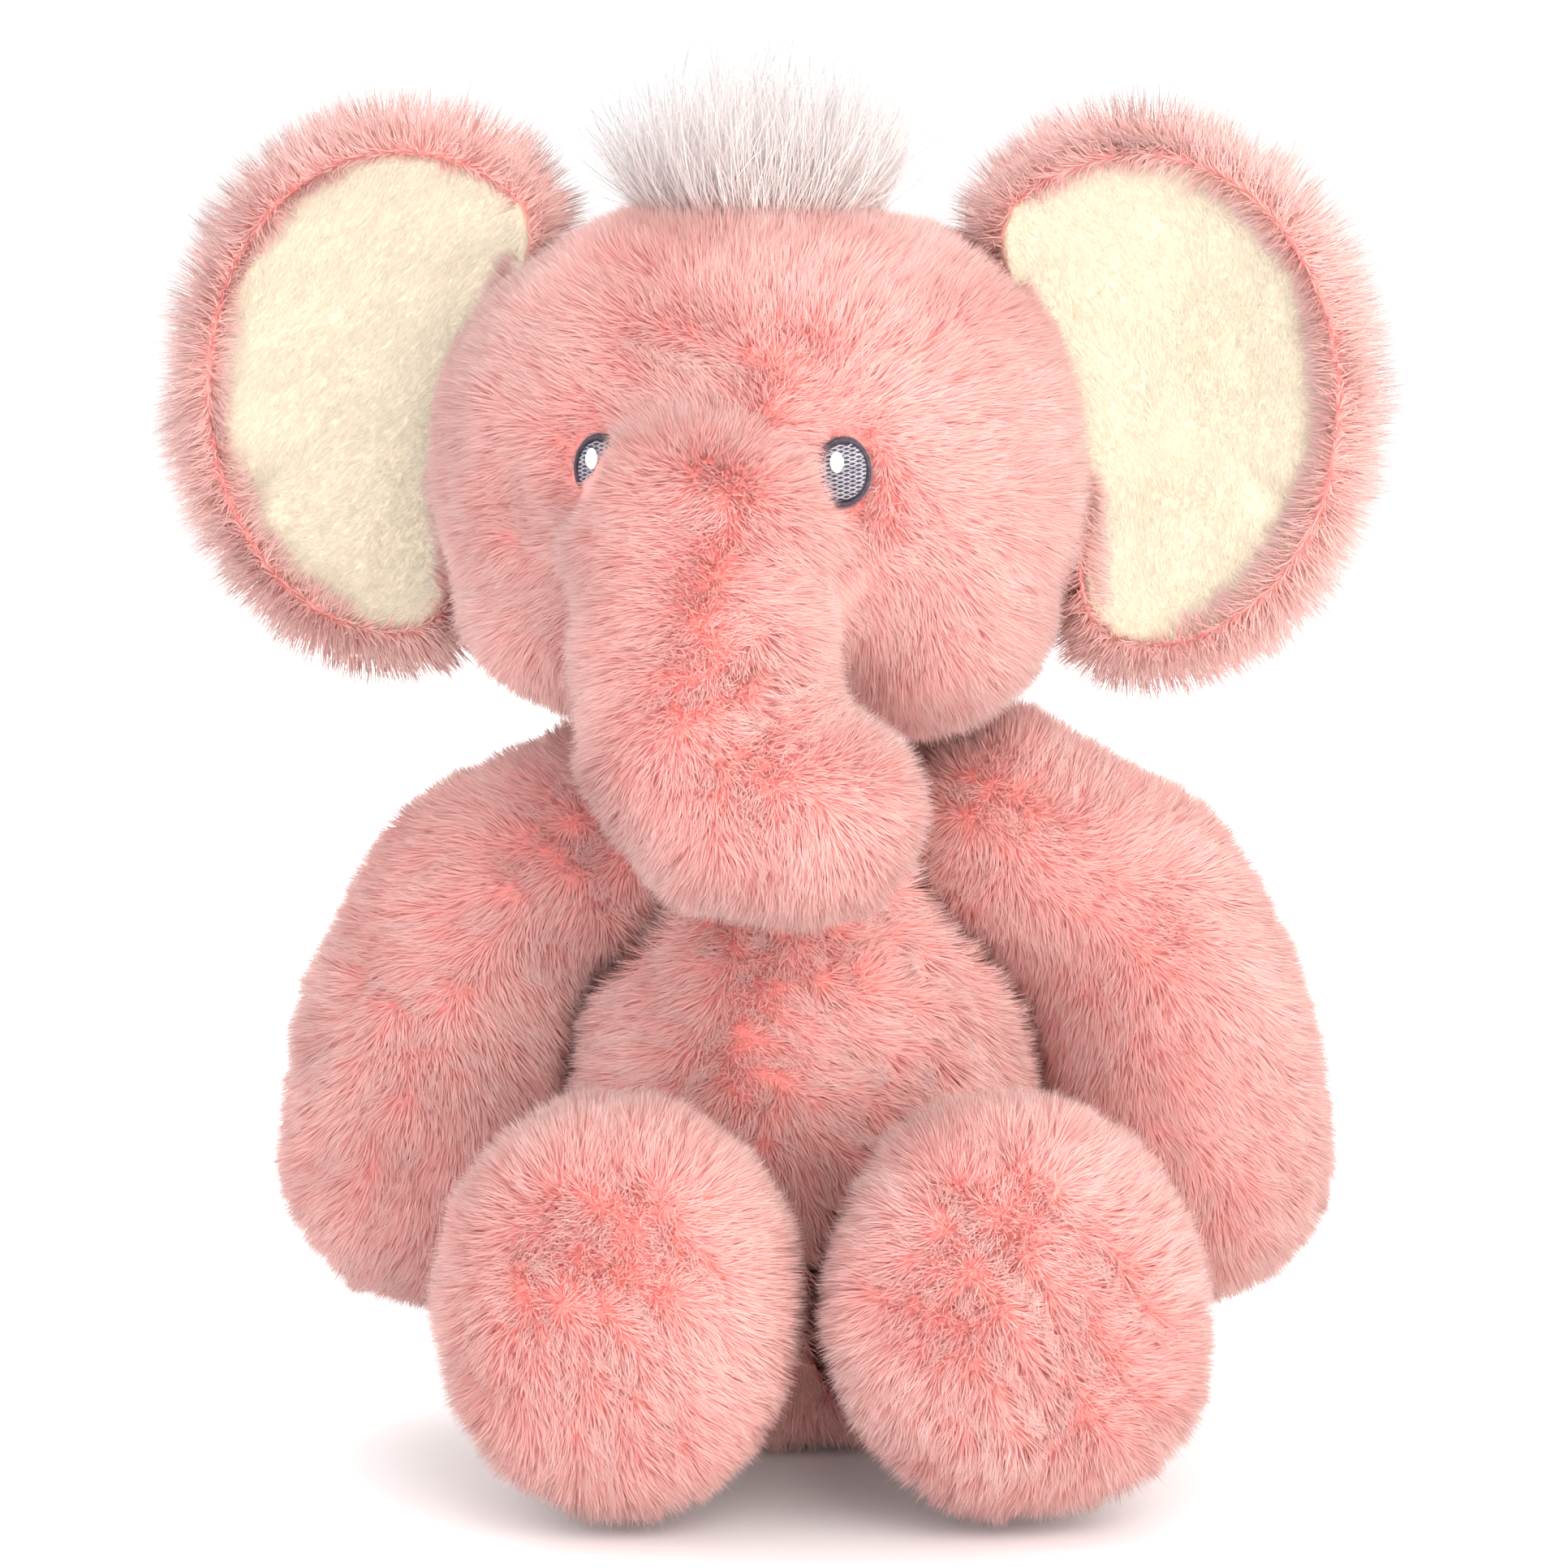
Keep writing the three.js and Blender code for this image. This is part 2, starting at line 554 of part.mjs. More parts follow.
for (const side of ["left", "right"]) {
  const armBody = (inset) => solidOf(armGeometry(side, inset));
  const armCover = coverOf(armBody);
  const armFront = armCover.intersect(half("y", SHOULDER.y - seam, -1));
  const armBack = armCover.intersect(half("y", SHOULDER.y + seam, 1));
  addPiece(`arm_${side}_front_panel`, armFront, colours.pile);
  addPiece(`arm_${side}_back_panel`, armBack, colours.pile);
  addPiece(`arm_${side}_stuffing`, stuffingOf(armBody), colours.fibre);

  const legBody = (inset) => solidOf(legGeometry(side, inset));
  const legCover = coverOf(legBody);
  const frame = legFrame(side);
  const soleAt = -(LEG_LENGTH - SOLE_DEPTH);
  const behindSole = legCover.intersect(half("y", soleAt + seam, 1, frame));
  const legTop = behindSole.intersect(half("z", seam, 1, frame));
  const legBottom = behindSole.intersect(half("z", -seam, -1, frame));
  addPiece(`leg_${side}_top_panel`, legTop, colours.pile);
  addPiece(`leg_${side}_bottom_panel`, legBottom, colours.pile);
  addPiece(`leg_${side}_sole`, legCover.intersect(half("y", soleAt - seam, -1, frame)), colours.pile);
  addPiece(`leg_${side}_stuffing`, stuffingOf(legBody), colours.fibre);
}

// ---- Head pieces ----

// A frame on the face at an eye: its Z points out of the face.
function eyeFrame(side) {
  const { point, normal } = facePoint((sides[side] * EYE_SPACING) / 2, EYE_LIFT);
  const across = new THREE.Vector3().crossVectors(new THREE.Vector3(0, 0, 1), normal).normalize();
  const up = new THREE.Vector3().crossVectors(normal, across);
  const turned = new THREE.Matrix4().makeBasis(across, up, normal).setPosition(point);
  return headFrame.clone().multiply(turned);
}

function plateOf(shape, depth, curveSegments) {
  return new THREE.ExtrudeGeometry(shape, { depth, bevelEnabled: false, curveSegments });
}

function oval(width, height, from, to, frame, hole) {
  const shape = new THREE.Shape().absellipse(0, 0, width / 2, height / 2, 0, Math.PI * 2);
  if (hole) {
    const inner = new THREE.Path();
    inner.absellipse(0, 0, hole.width / 2, hole.height / 2, 0, Math.PI * 2);
    shape.holes.push(inner);
  }
  const plate = plateOf(shape, to - from, FINE.eye);
  return solidOf(plate.translate(0, 0, from).applyMatrix4(frame));
}

let headCover = coverOf(headBody);
for (const side of ["left", "right"]) {
  const clear = 2 * EYE_CLEARANCE;
  const frame = eyeFrame(side);
  headCover = headCover.subtract(
    oval(EYE_WIDTH + clear, EYE_HEIGHT + clear, -EYE_SINK - EYE_CLEARANCE, EYE_SINK, frame),
  );
  const base = -EYE_SINK;
  const top = base + EYE_THREAD;
  const inner = { width: EYE_WIDTH - 2 * EYE_OUTLINE, height: EYE_HEIGHT - 2 * EYE_OUTLINE };
  const outline = oval(EYE_WIDTH, EYE_HEIGHT, base, top, frame, inner);
  addPiece(`eye_${side}_outline`, outline, colours.darkThread);
  const shift = new THREE.Matrix4().makeTranslation(
    EYE_WIDTH * HIGHLIGHT_ASIDE_SHARE,
    EYE_HEIGHT * HIGHLIGHT_UP_SHARE,
    0,
  );
  const glintFrame = frame.clone().multiply(shift);
  const glintHole = oval(
    HIGHLIGHT_WIDTH + clear, HIGHLIGHT_HEIGHT + clear, base + EYE_THREAD / 2, EYE_SINK, glintFrame,
  );
  const fill = oval(inner.width - clear, inner.height - clear, base, top, frame).subtract(glintHole);
  addPiece(`eye_${side}_fill`, fill, colours.greyThread);
  const glintBase = base + EYE_THREAD / 2 + EYE_CLEARANCE;
  addPiece(
    `eye_${side}_highlight`,
    oval(HIGHLIGHT_WIDTH, HIGHLIGHT_HEIGHT, glintBase, glintBase + EYE_THREAD, glintFrame),
    colours.whiteThread,
  );
}

const gussetEdge = GUSSET_WIDTH / 2;
const leftOfGusset = half("x", gussetEdge + seam, 1, headFrame);
const rightOfGusset = half("x", -gussetEdge - seam, -1, headFrame);
addPiece("head_left_panel", headCover.intersect(leftOfGusset), colours.pile);
addPiece("head_right_panel", headCover.intersect(rightOfGusset), colours.pile);
const strip = headCover.intersect(slice("x", -gussetEdge + seam, gussetEdge - seam, headFrame));
// Past the trunk and the neck the strip is two pieces: over the crown, and under the chin.
const chinBlock = (grow) =>
  solidOf(
    block(
      new THREE.Vector3(-REACH, -REACH, -REACH),
      new THREE.Vector3(REACH, NECK_PIVOT.y - HEAD_CENTRE.y + grow, TRUNK_ROOT.z + grow),
    ).applyMatrix4(headFrame),
  );
addPiece("head_gusset", strip.subtract(chinBlock(seam)), colours.pile);
addPiece("chin_panel", strip.intersect(chinBlock(-seam)), colours.pile);
addPiece("head_stuffing", stuffingOf(headBody), colours.fibre);

const crown = new THREE.SphereGeometry(1, FINE.around, 8)
  .rotateX(Math.PI / 2)
  .scale(TUFT_HALF_WIDTH, TUFT_HALF_DEPTH, TUFT_RISE * 1.5)
  .translate(0, 0, HEAD_HALF_HEIGHT - TUFT_RISE * 0.5)
  .applyMatrix4(headFrame);
const underTuft = solidOf(headGeometry(-FILL_GAP).applyMatrix4(headFrame));
addPiece("head_tuft", solidOf(crown).subtract(underTuft), colours.tuft);

// ---- Ears ----

// A plate of the ear's outline, drawn in by an inset, between two depths behind the ear's front.
function earPlate(side, inset, from, to) {
  const shape = new THREE.Shape().absellipse(
    0, 0, EAR_HALF_WIDTH - inset, EAR_HALF_HEIGHT - inset, 0, Math.PI * 2,
  );
  return solidOf(
    plateOf(shape, to - from, FINE.outline)
      .translate(0, 0, -to)
      .rotateX(Math.PI / 2)
      .translate(sides[side] * EAR_OUT, EAR_BACK - EAR_THICKNESS / 2, EAR_LIFT)
      .applyMatrix4(headFrame),
  );
}

for (const side of ["left", "right"]) {
  // The ear's inner edge keeps clear of the head through the whole flap.
  const pivot = new THREE.Matrix4().makeTranslation(sides[side] * EAR_PIVOT_OUT, EAR_BACK, 0);
  const away = pivot.clone().invert();
  const heads = [-1, 0, 1].map((way) => {
    const flap = new THREE.Matrix4().makeRotationZ(way * EAR_FLAP);
    const move = headFrame.clone().multiply(pivot).multiply(flap).multiply(away);
    return solidOf(headGeometry(-JOINT_GAP).applyMatrix4(move));
  });
  const trimmed = (solid) => heads.reduce((rest, head) => rest.subtract(head), solid);
  const waddingBack = LINING_THICKNESS + WADDING_THICKNESS;
  const liningBed = earPlate(side, EAR_RIM, -1, waddingBack + FILL_GAP);
  const whole = earPlate(side, 0, 0, EAR_THICKNESS);
  addPiece(`ear_${side}_back`, trimmed(whole.subtract(liningBed)), colours.pile);
  const inside = EAR_RIM + SEAM_GAP;
  const wadding = earPlate(side, inside, LINING_THICKNESS + FILL_GAP / 2, waddingBack);
  addPiece(`ear_${side}_wadding`, trimmed(wadding), colours.fibre);
  const lining = earPlate(side, inside, 0, LINING_THICKNESS - FILL_GAP / 2);
  addPiece(`ear_${side}_lining`, trimmed(lining), colours.lining);
}

// ---- Trunk pieces ----

const trunkCover = coverOf(trunkBody);
addPiece("trunk_left_panel", trunkCover.intersect(half("x", seam, 1, headFrame)), colours.pile);
addPiece("trunk_right_panel", trunkCover.intersect(half("x", -seam, -1, headFrame)), colours.pile);
addPiece("trunk_stuffing", stuffingOf(trunkBody), colours.fibre);
const tipCover = coverOf(trunkTipBody);
const tipFront = tipCover.intersect(half("y", TRUNK_BEND.y - seam, -1, headFrame));
const tipBack = tipCover.intersect(half("y", TRUNK_BEND.y + seam, 1, headFrame));
addPiece("trunk_tip_front_panel", tipFront, colours.pile);
addPiece("trunk_tip_back_panel", tipBack, colours.pile);
addPiece("trunk_tip_stuffing", stuffingOf(trunkTipBody), colours.fibre);

// ---- Tail ----

const tailRoot = new THREE.Vector3(0, 0, TAIL_HEIGHT);
tailRoot.y = BELLY_RADIUS * TORSO_DEPTH_SHARE + JOINT_GAP + TAIL_RADIUS;
const strap = new THREE.CylinderGeometry(TAIL_RADIUS, TAIL_RADIUS, TAIL_LENGTH, 10)
  .rotateX(Math.PI / 2)
  .translate(tailRoot.x, tailRoot.y, tailRoot.z - TAIL_LENGTH / 2);
addPiece("tail_strip", solidOf(strap), colours.pile);
const tuftBall = TAIL_TUFT_RADIUS * TAIL_TUFT_BALL_SHARE;
const tailTuft = new THREE.SphereGeometry(tuftBall, 12, 8).translate(
  tailRoot.x,
  tailRoot.y + TAIL_TUFT_RADIUS * TAIL_TUFT_BACK_SHARE,
  tailRoot.z - TAIL_LENGTH - tuftBall - FILL_GAP,
);
addPiece("tail_tuft", solidOf(tailTuft), colours.tuft);

export default elephant;
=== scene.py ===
import json
import math

import bmesh
import bpy
import numpy as np
from mathutils import Matrix, Vector
from mathutils.bvhtree import BVHTree


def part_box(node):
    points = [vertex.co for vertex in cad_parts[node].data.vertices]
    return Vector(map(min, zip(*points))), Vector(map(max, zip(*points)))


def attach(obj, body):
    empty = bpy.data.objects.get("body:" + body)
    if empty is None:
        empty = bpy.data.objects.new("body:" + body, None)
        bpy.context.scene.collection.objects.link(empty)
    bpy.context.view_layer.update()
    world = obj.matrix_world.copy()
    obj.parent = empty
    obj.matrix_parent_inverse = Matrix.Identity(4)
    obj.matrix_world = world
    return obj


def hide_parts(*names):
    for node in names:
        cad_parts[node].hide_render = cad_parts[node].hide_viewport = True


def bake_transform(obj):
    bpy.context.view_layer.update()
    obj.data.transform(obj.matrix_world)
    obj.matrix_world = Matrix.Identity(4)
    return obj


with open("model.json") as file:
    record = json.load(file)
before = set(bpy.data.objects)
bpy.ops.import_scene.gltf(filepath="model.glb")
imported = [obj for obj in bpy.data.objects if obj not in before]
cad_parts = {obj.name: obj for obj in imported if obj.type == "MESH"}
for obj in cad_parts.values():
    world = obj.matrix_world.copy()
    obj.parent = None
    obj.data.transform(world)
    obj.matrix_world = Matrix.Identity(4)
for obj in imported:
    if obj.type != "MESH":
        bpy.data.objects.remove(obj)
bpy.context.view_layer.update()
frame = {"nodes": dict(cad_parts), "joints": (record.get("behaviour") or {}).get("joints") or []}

MM = 0.001
SIDES = {"left": 1, "right": -1}

# How deep the pile is: the fabric lies this far inside the outline that the frame gives.
PILE_DEPTH = 5.2 * MM
# How long its strands are: they lean, so they are longer than the pile is deep.
PILE_LENGTH = 7.6 * MM
VOXEL = 3.5 * MM  # grid of the remesh that fuses a body's solids into one skin
FLOOR_CLEARANCE = 0.4 * MM
WAIST_HEIGHT = 92 * MM  # where the arms lie against the torso

joints = {joint["name"]: joint for joint in frame["joints"]}


# ---- small tools

def away(points, centre, reach):
    """Outwards from a centre, growing from nothing there to one at reach and beyond."""
    offset = points - np.array(centre)
    distance = np.linalg.norm(offset, axis=1, keepdims=True)
    return offset / np.maximum(distance, 1e-9) * np.tanh(distance / reach)


def unit(vectors):
    """Rows scaled to length one."""
    return vectors / np.maximum(np.linalg.norm(vectors, axis=1, keepdims=True), 1e-12)


def smooth(low, high, values):
    """0 below low, 1 above high, and a soft step between."""
    share = np.clip((values - low) / (high - low), 0, 1)
    return share * share * (3 - 2 * share)


def ripple(points, size, seed, waves=6):
    """A soft random value from -1 to 1 over space, whose lumps are about size across."""
    random = np.random.default_rng(seed)
    total = np.zeros(len(points))
    for _ in range(waves):
        heading = random.normal(size=3)
        heading *= random.uniform(0.6, 1.5) * 2 * math.pi / (size * 2 * np.linalg.norm(heading))
        total += np.sin(points @ heading + random.uniform(0, 2 * math.pi))
    return total / math.sqrt(waves / 2) / 2


def ripple_vectors(points, size, seed):
    """Three soft random values at each point."""
    return np.stack([ripple(points, size, seed + axis) for axis in range(3)], axis=1)


def vertex_places(mesh):
    places = np.empty(len(mesh.vertices) * 3)
    mesh.vertices.foreach_get("co", places)
    return places.reshape(-1, 3)


def move_vertices(mesh, places):
    mesh.vertices.foreach_set("co", places.astype(np.float32).ravel())
    mesh.update()


def vertex_normals(mesh):
    normals = np.empty(len(mesh.vertices) * 3)
    mesh.vertices.foreach_get("normal", normals)
    return normals.reshape(-1, 3)


def tree_of(mesh):
    """A tree that rays can be cast at."""
    return BVHTree.FromPolygons([v.co for v in mesh.vertices], [p.vertices for p in mesh.polygons])


def new_object(name, mesh):
    piece = bpy.data.objects.new(name, mesh)
    bpy.context.scene.collection.objects.link(piece)
    return piece


def with_modifiers_applied(piece):
    """The piece's mesh as its modifiers leave it, put back in place of its own mesh."""
    depsgraph = bpy.context.evaluated_depsgraph_get()
    mesh = bpy.data.meshes.new_from_object(piece.evaluated_get(depsgraph))
    mesh.name = piece.name
    piece.modifiers.clear()
    piece.data = mesh
    return piece


def smooth_shaded(piece):
    piece.data.shade_smooth()
    return piece


# ---- materials

def linear(red, green, blue):
    """A colour given as it looks on screen, from 0 to 255, as the linear colour that shaders use."""
    shares = [level / 255 for level in (red, green, blue)]
    return tuple(c / 12.92 if c < 0.0404 else ((c + 0.055) / 1.055) ** 2.4 for c in shares) + (1.0,)


def strand_colour_group():
    """The colour of one strand of pile or hair: from root to tip along V, and its own tone along U."""
    group = bpy.data.node_groups.new("strand colour", "ShaderNodeTree")
    for name in ("Root", "Middle", "Tip", "Shade"):
        group.interface.new_socket(name, in_out="INPUT", socket_type="NodeSocketColor")
    group.interface.new_socket("Shade Amount", in_out="INPUT", socket_type="NodeSocketFloat")
    group.interface.new_socket("Color", in_out="OUTPUT", socket_type="NodeSocketColor")
    nodes, link = group.nodes, group.links.new
    inputs = nodes.new("NodeGroupInput")
    outputs = nodes.new("NodeGroupOutput")
    place = nodes.new("ShaderNodeUVMap")
    place.uv_map = "OFBake"
    split = nodes.new("ShaderNodeSeparateXYZ")
    link(place.outputs["UV"], split.inputs[0])

    def step(low, high):
        ramp = nodes.new("ShaderNodeMapRange")
        ramp.interpolation_type = "SMOOTHSTEP"
        ramp.inputs["From Min"].default_value = low
        ramp.inputs["From Max"].default_value = high
        link(split.outputs["Y"], ramp.inputs["Value"])
        return ramp.outputs["Result"]

    def mix(factor, first, second):
        blend = nodes.new("ShaderNodeMix")
        blend.data_type = "RGBA"
        link(factor, blend.inputs["Factor"])
        link(first, blend.inputs["A"])
        link(second, blend.inputs["B"])
        return blend.outputs["Result"]

    lower = mix(step(0.0, 0.5), inputs.outputs["Root"], inputs.outputs["Middle"])
    whole = mix(step(0.45, 1.0), lower, inputs.outputs["Tip"])
    tone = nodes.new("ShaderNodeMath")
    tone.operation = "MULTIPLY"
    link(split.outputs["X"], tone.inputs[0])
    link(inputs.outputs["Shade Amount"], tone.inputs[1])
    link(mix(tone.outputs[0], whole, inputs.outputs["Shade"]), outputs.inputs["Color"])
    return group


def fabric_mottle_group():
    """A soft cloudy mix of two colours, with a fine weave as height."""
    group = bpy.data.node_groups.new("fabric mottle", "ShaderNodeTree")
    for name in ("Light", "Dark"):
        group.interface.new_socket(name, in_out="INPUT", socket_type="NodeSocketColor")
    for name in ("Cloud Scale", "Grain Scale"):
        group.interface.new_socket(name, in_out="INPUT", socket_type="NodeSocketFloat")
    group.interface.new_socket("Color", in_out="OUTPUT", socket_type="NodeSocketColor")
    group.interface.new_socket("Height", in_out="OUTPUT", socket_type="NodeSocketFloat")
    nodes, link = group.nodes, group.links.new
    inputs = nodes.new("NodeGroupInput")
    outputs = nodes.new("NodeGroupOutput")
    place = nodes.new("ShaderNodeTexCoord")
    noises = []
    for name in ("Cloud Scale", "Grain Scale"):
        noise = nodes.new("ShaderNodeTexNoise")
        noise.inputs["Detail"].default_value = 4.0
        link(place.outputs["Object"], noise.inputs["Vector"])
        link(inputs.outputs[name], noise.inputs["Scale"])
        noises.append(noise.outputs["Fac"])
    blend = nodes.new("ShaderNodeMix")
    blend.data_type = "RGBA"
    ramp = nodes.new("ShaderNodeMapRange")
    ramp.inputs["From Min"].default_value = 0.35
    ramp.inputs["From Max"].default_value = 0.65
    link(noises[0], ramp.inputs["Value"])
    link(ramp.outputs["Result"], blend.inputs["Factor"])
    link(inputs.outputs["Light"], blend.inputs["A"])
    link(inputs.outputs["Dark"], blend.inputs["B"])
    link(blend.outputs["Result"], outputs.inputs["Color"])
    link(noises[1], outputs.inputs["Height"])
    return group


STRAND_COLOUR = strand_colour_group()
FABRIC_MOTTLE = fabric_mottle_group()


def new_material(name, roughness, sheen, sheen_tint=(1, 1, 1, 1), specular=0.25):
    material = bpy.data.materials.new(name)
    material.use_nodes = True
    shader = material.node_tree.nodes["Principled BSDF"]
    shader.inputs["Roughness"].default_value = roughness
    shader.inputs["Sheen Weight"].default_value = sheen
    shader.inputs["Sheen Roughness"].default_value = 0.4
    shader.inputs["Sheen Tint"].default_value = sheen_tint
    shader.inputs["Specular IOR Level"].default_value = specular
    return material, shader


def lit_alike_from_both_sides(material, shader):
    """A strand's back is lit as its front is, so that no strand turns dark by how it happens to face."""
    nodes, link = material.node_tree.nodes, material.node_tree.links.new
    geometry = nodes.new("ShaderNodeNewGeometry")
    sign = nodes.new("ShaderNodeMapRange")
    sign.inputs["To Min"].default_value = 1.0
    sign.inputs["To Max"].default_value = -1.0
    link(geometry.outputs["Backfacing"], sign.inputs["Value"])
    turned = nodes.new("ShaderNodeVectorMath")
    turned.operation = "SCALE"
    link(geometry.outputs["Normal"], turned.inputs[0])
    link(sign.outputs["Result"], turned.inputs["Scale"])
    link(turned.outputs["Vector"], shader.inputs["Normal"])


def strand_material(name, root, middle, tip, shade, amount, **look):
    material, shader = new_material(name, **look)
    lit_alike_from_both_sides(material, shader)
    colour = material.node_tree.nodes.new("ShaderNodeGroup")
    colour.node_tree = STRAND_COLOUR
    for socket, value in (("Root", root), ("Middle", middle), ("Tip", tip), ("Shade", shade)):
        colour.inputs[socket].default_value = value
    colour.inputs["Shade Amount"].default_value = amount
    material.node_tree.links.new(colour.outputs["Color"], shader.inputs["Base Color"])
    return material


def cloth_material(name, light, dark, cloud=60.0, grain=900.0, bump=0.3, **look):
    material, shader = new_material(name, **look)
    nodes, link = material.node_tree.nodes, material.node_tree.links.new
    mottle = nodes.new("ShaderNodeGroup")
    mottle.node_tree = FABRIC_MOTTLE
    mottle.inputs["Light"].default_value = light
    mottle.inputs["Dark"].default_value = dark
    mottle.inputs["Cloud Scale"].default_value = cloud
    mottle.inputs["Grain Scale"].default_value = grain
    height = nodes.new("ShaderNodeBump")
    height.inputs["Strength"].default_value = bump
    height.inputs["Distance"].default_value = 0.4 * MM
    link(mottle.outputs["Color"], shader.inputs["Base Color"])
    link(mottle.outputs["Height"], height.inputs["Height"])
    link(height.outputs["Normal"], shader.inputs["Normal"])
    return material


PINK_PILE = strand_material(
    "pink pile", linear(255, 163, 156), linear(255, 187, 180), linear(255, 220, 213),
    shade=linear(255, 160, 155), amount=0.42,
    roughness=0.8, sheen=0.06, sheen_tint=(1.0, 0.80, 0.78, 1), specular=0.06,
)
# A lighter copy of the pink pile for the ears' rims and backs: painted rim light, which also lifts the
# shade where the strands part over the rim.
RIM_PILE_PAINTED_LIGHT = strand_material(
    "pink pile at the ear's rim, lightened as painted rim light", linear(255, 184, 176), linear(255, 200, 192), linear(255, 226, 220),
    shade=linear(255, 176, 170), amount=0.35, roughness=0.8, sheen=0.06, sheen_tint=(1.0, 0.80, 0.78, 1),
    specular=0.06,
)
PINK_BACKING = cloth_material(
    "pink knitted backing", linear(255, 172, 165), linear(252, 160, 154),
    roughness=0.95, sheen=0.1, specular=0.1,
)
CREAM_NAP = strand_material(
    "cream velboa nap", linear(236, 220, 192), linear(243, 230, 206), linear(249, 241, 222),
    shade=linear(238, 222, 196), amount=0.3,
    roughness=0.7, sheen=0.2, specular=0.2,
)
CREAM_CLOTH = cloth_material(
    "cream velboa", linear(242, 229, 204), linear(236, 221, 195), cloud=45.0, grain=1500.0,
    roughness=0.8, sheen=0.1, specular=0.2,
)
TUFT_HAIR = strand_material(
    "tuft hair", linear(255, 208, 202), linear(255, 238, 234), linear(255, 253, 252),
    shade=linear(255, 226, 222), amount=0.5,
    roughness=0.6, sheen=0.2, specular=0.3,
)
FIBRE = cloth_material(
    "polyester fibre", linear(250, 250, 248), linear(230, 230, 228), cloud=120.0, grain=700.0,
    roughness=1.0, sheen=0.3, specular=0.1,
)
POUCH_COTTON = cloth_material(
    "pouch cotton", linear(238, 234, 222), linear(222, 216, 200), cloud=150.0, grain=2200.0,
    roughness=0.9, sheen=0.1, specular=0.15,
)


def thread_material(name, light, dark):
    return cloth_material(
        name, light, dark, cloud=700.0, grain=2500.0, roughness=0.38, sheen=0.3, specular=0.6,
    )


DARK_THREAD = thread_material("dark plum thread", linear(70, 60, 76), linear(46, 38, 52))
GREY_THREAD = thread_material("lavender grey thread", linear(176, 174, 182), linear(140, 137, 149))
WHITE_THREAD = thread_material("white thread", linear(255, 255, 255), linear(240, 240, 244))


def finish_with(piece, material):
    piece.data.materials.clear()
    piece.data.materials.append(material)
    return piece


# ---- fabric skins from the frame's solids

def fattened(node, by):
    """A copy of a frame solid, moved out along its normals so that it closes on its neighbours."""
    mesh = frame["nodes"][node].data.copy()
    places = vertex_places(mesh) + vertex_normals(mesh) * by
    move_vertices(mesh, places)
    return mesh


def joined(name, meshes):
    """Several meshes as one new object."""
    bm = bmesh.new()
    for mesh in meshes:
        bm.from_mesh(mesh)
        bpy.data.meshes.remove(mesh)
    mesh = bpy.data.meshes.new(name)
    bm.to_mesh(mesh)
    bm.free()
    return new_object(name, mesh)


def remeshed(piece, voxel=VOXEL):
    """Rebuilt as one even skin: only the outermost shell is kept."""
    modifier = piece.modifiers.new("remesh", "REMESH")
    modifier.mode = "VOXEL"
    modifier.voxel_size = voxel
    with_modifiers_applied(piece)
    bm = bmesh.new()
    bm.from_mesh(piece.data)
    todo = set(bm.verts)
    shells = []
    while todo:
        stack = [todo.pop()]
        shell = list(stack)
        while stack:
            for edge in stack.pop().link_edges:
                for vertex in edge.verts:
                    if vertex in todo:
                        todo.discard(vertex)
                        stack.append(vertex)
                        shell.append(vertex)
        shells.append(shell)
    widest = max(shells, key=len)
    keep = set(widest)
    bmesh.ops.delete(bm, geom=[v for v in bm.verts if v not in keep], context="VERTS")
    bm.to_mesh(piece.data)
    bm.free()
    return piece


def relaxed(piece, rounds, share=0.5):
    """Smoothed by moving every vertex towards its neighbours' middle."""
    modifier = piece.modifiers.new("relax", "SMOOTH")
    modifier.factor = share
    modifier.iterations = rounds
    return with_modifiers_applied(piece)


def skin_of(name, shells, fills, fatten=1.2 * MM, extra=(), rounds=6):
    """The fabric of a body: its frame solids fused, smoothed, and drawn in by the depth of the pile."""
    meshes = [frame["nodes"][node].data.copy() for node in shells]
    meshes += [fattened(node, fatten) for node in fills]
    meshes += list(extra)
    piece = relaxed(remeshed(joined(name, meshes)), rounds)
    normals = vertex_normals(piece.data)
    move_vertices(piece.data, vertex_places(piece.data) - normals * PILE_DEPTH)
    return smooth_shaded(relaxed(piece, 2))


# ---- pile: flat tapered strands of fibre

def scattered(mesh, density, seed, keep=None):
    """Even random points over a mesh: where they are, and the smooth normals there."""
    mesh.calc_loop_triangles()
    corners = np.empty(len(mesh.loop_triangles) * 3, dtype=np.int64)
    mesh.loop_triangles.foreach_get("vertices", corners)
    corners = corners.reshape(-1, 3)
    places = vertex_places(mesh)
    normals = vertex_normals(mesh)
    a, b, c = (places[corners[:, i]] for i in range(3))
    areas = np.linalg.norm(np.cross(b - a, c - a), axis=1) / 2
    if keep is not None:
        areas = areas * keep((a + b + c) / 3, unit(np.cross(b - a, c - a)))
    random = np.random.default_rng(seed)
    count = int(areas.sum() / MM**2 * density)
    chosen = random.choice(len(areas), size=count, p=areas / areas.sum())
    first, second = random.random(count), random.random(count)
    over = first + second > 1
    first[over], second[over] = 1 - first[over], 1 - second[over]
    shares = np.stack([1 - first - second, first, second], axis=1)[:, :, None]
    points = (places[corners[chosen]] * shares).sum(axis=1)
    return points, unit((normals[corners[chosen]] * shares).sum(axis=1)), random


def clumping(points, size, seed, waves=9):
    """Which way tips lean so that they gather in tufts about size across."""
    random = np.random.default_rng(seed)
    lean = np.zeros((len(points), 3))
    for _ in range(waves):
        heading = random.normal(size=3)
        heading /= np.linalg.norm(heading)
        turns = random.uniform(0.7, 1.4) * math.pi / size
        lean += heading * np.cos(points @ heading * turns + random.uniform(0, 2 * math.pi))[:, None]
    return lean / math.sqrt(waves)


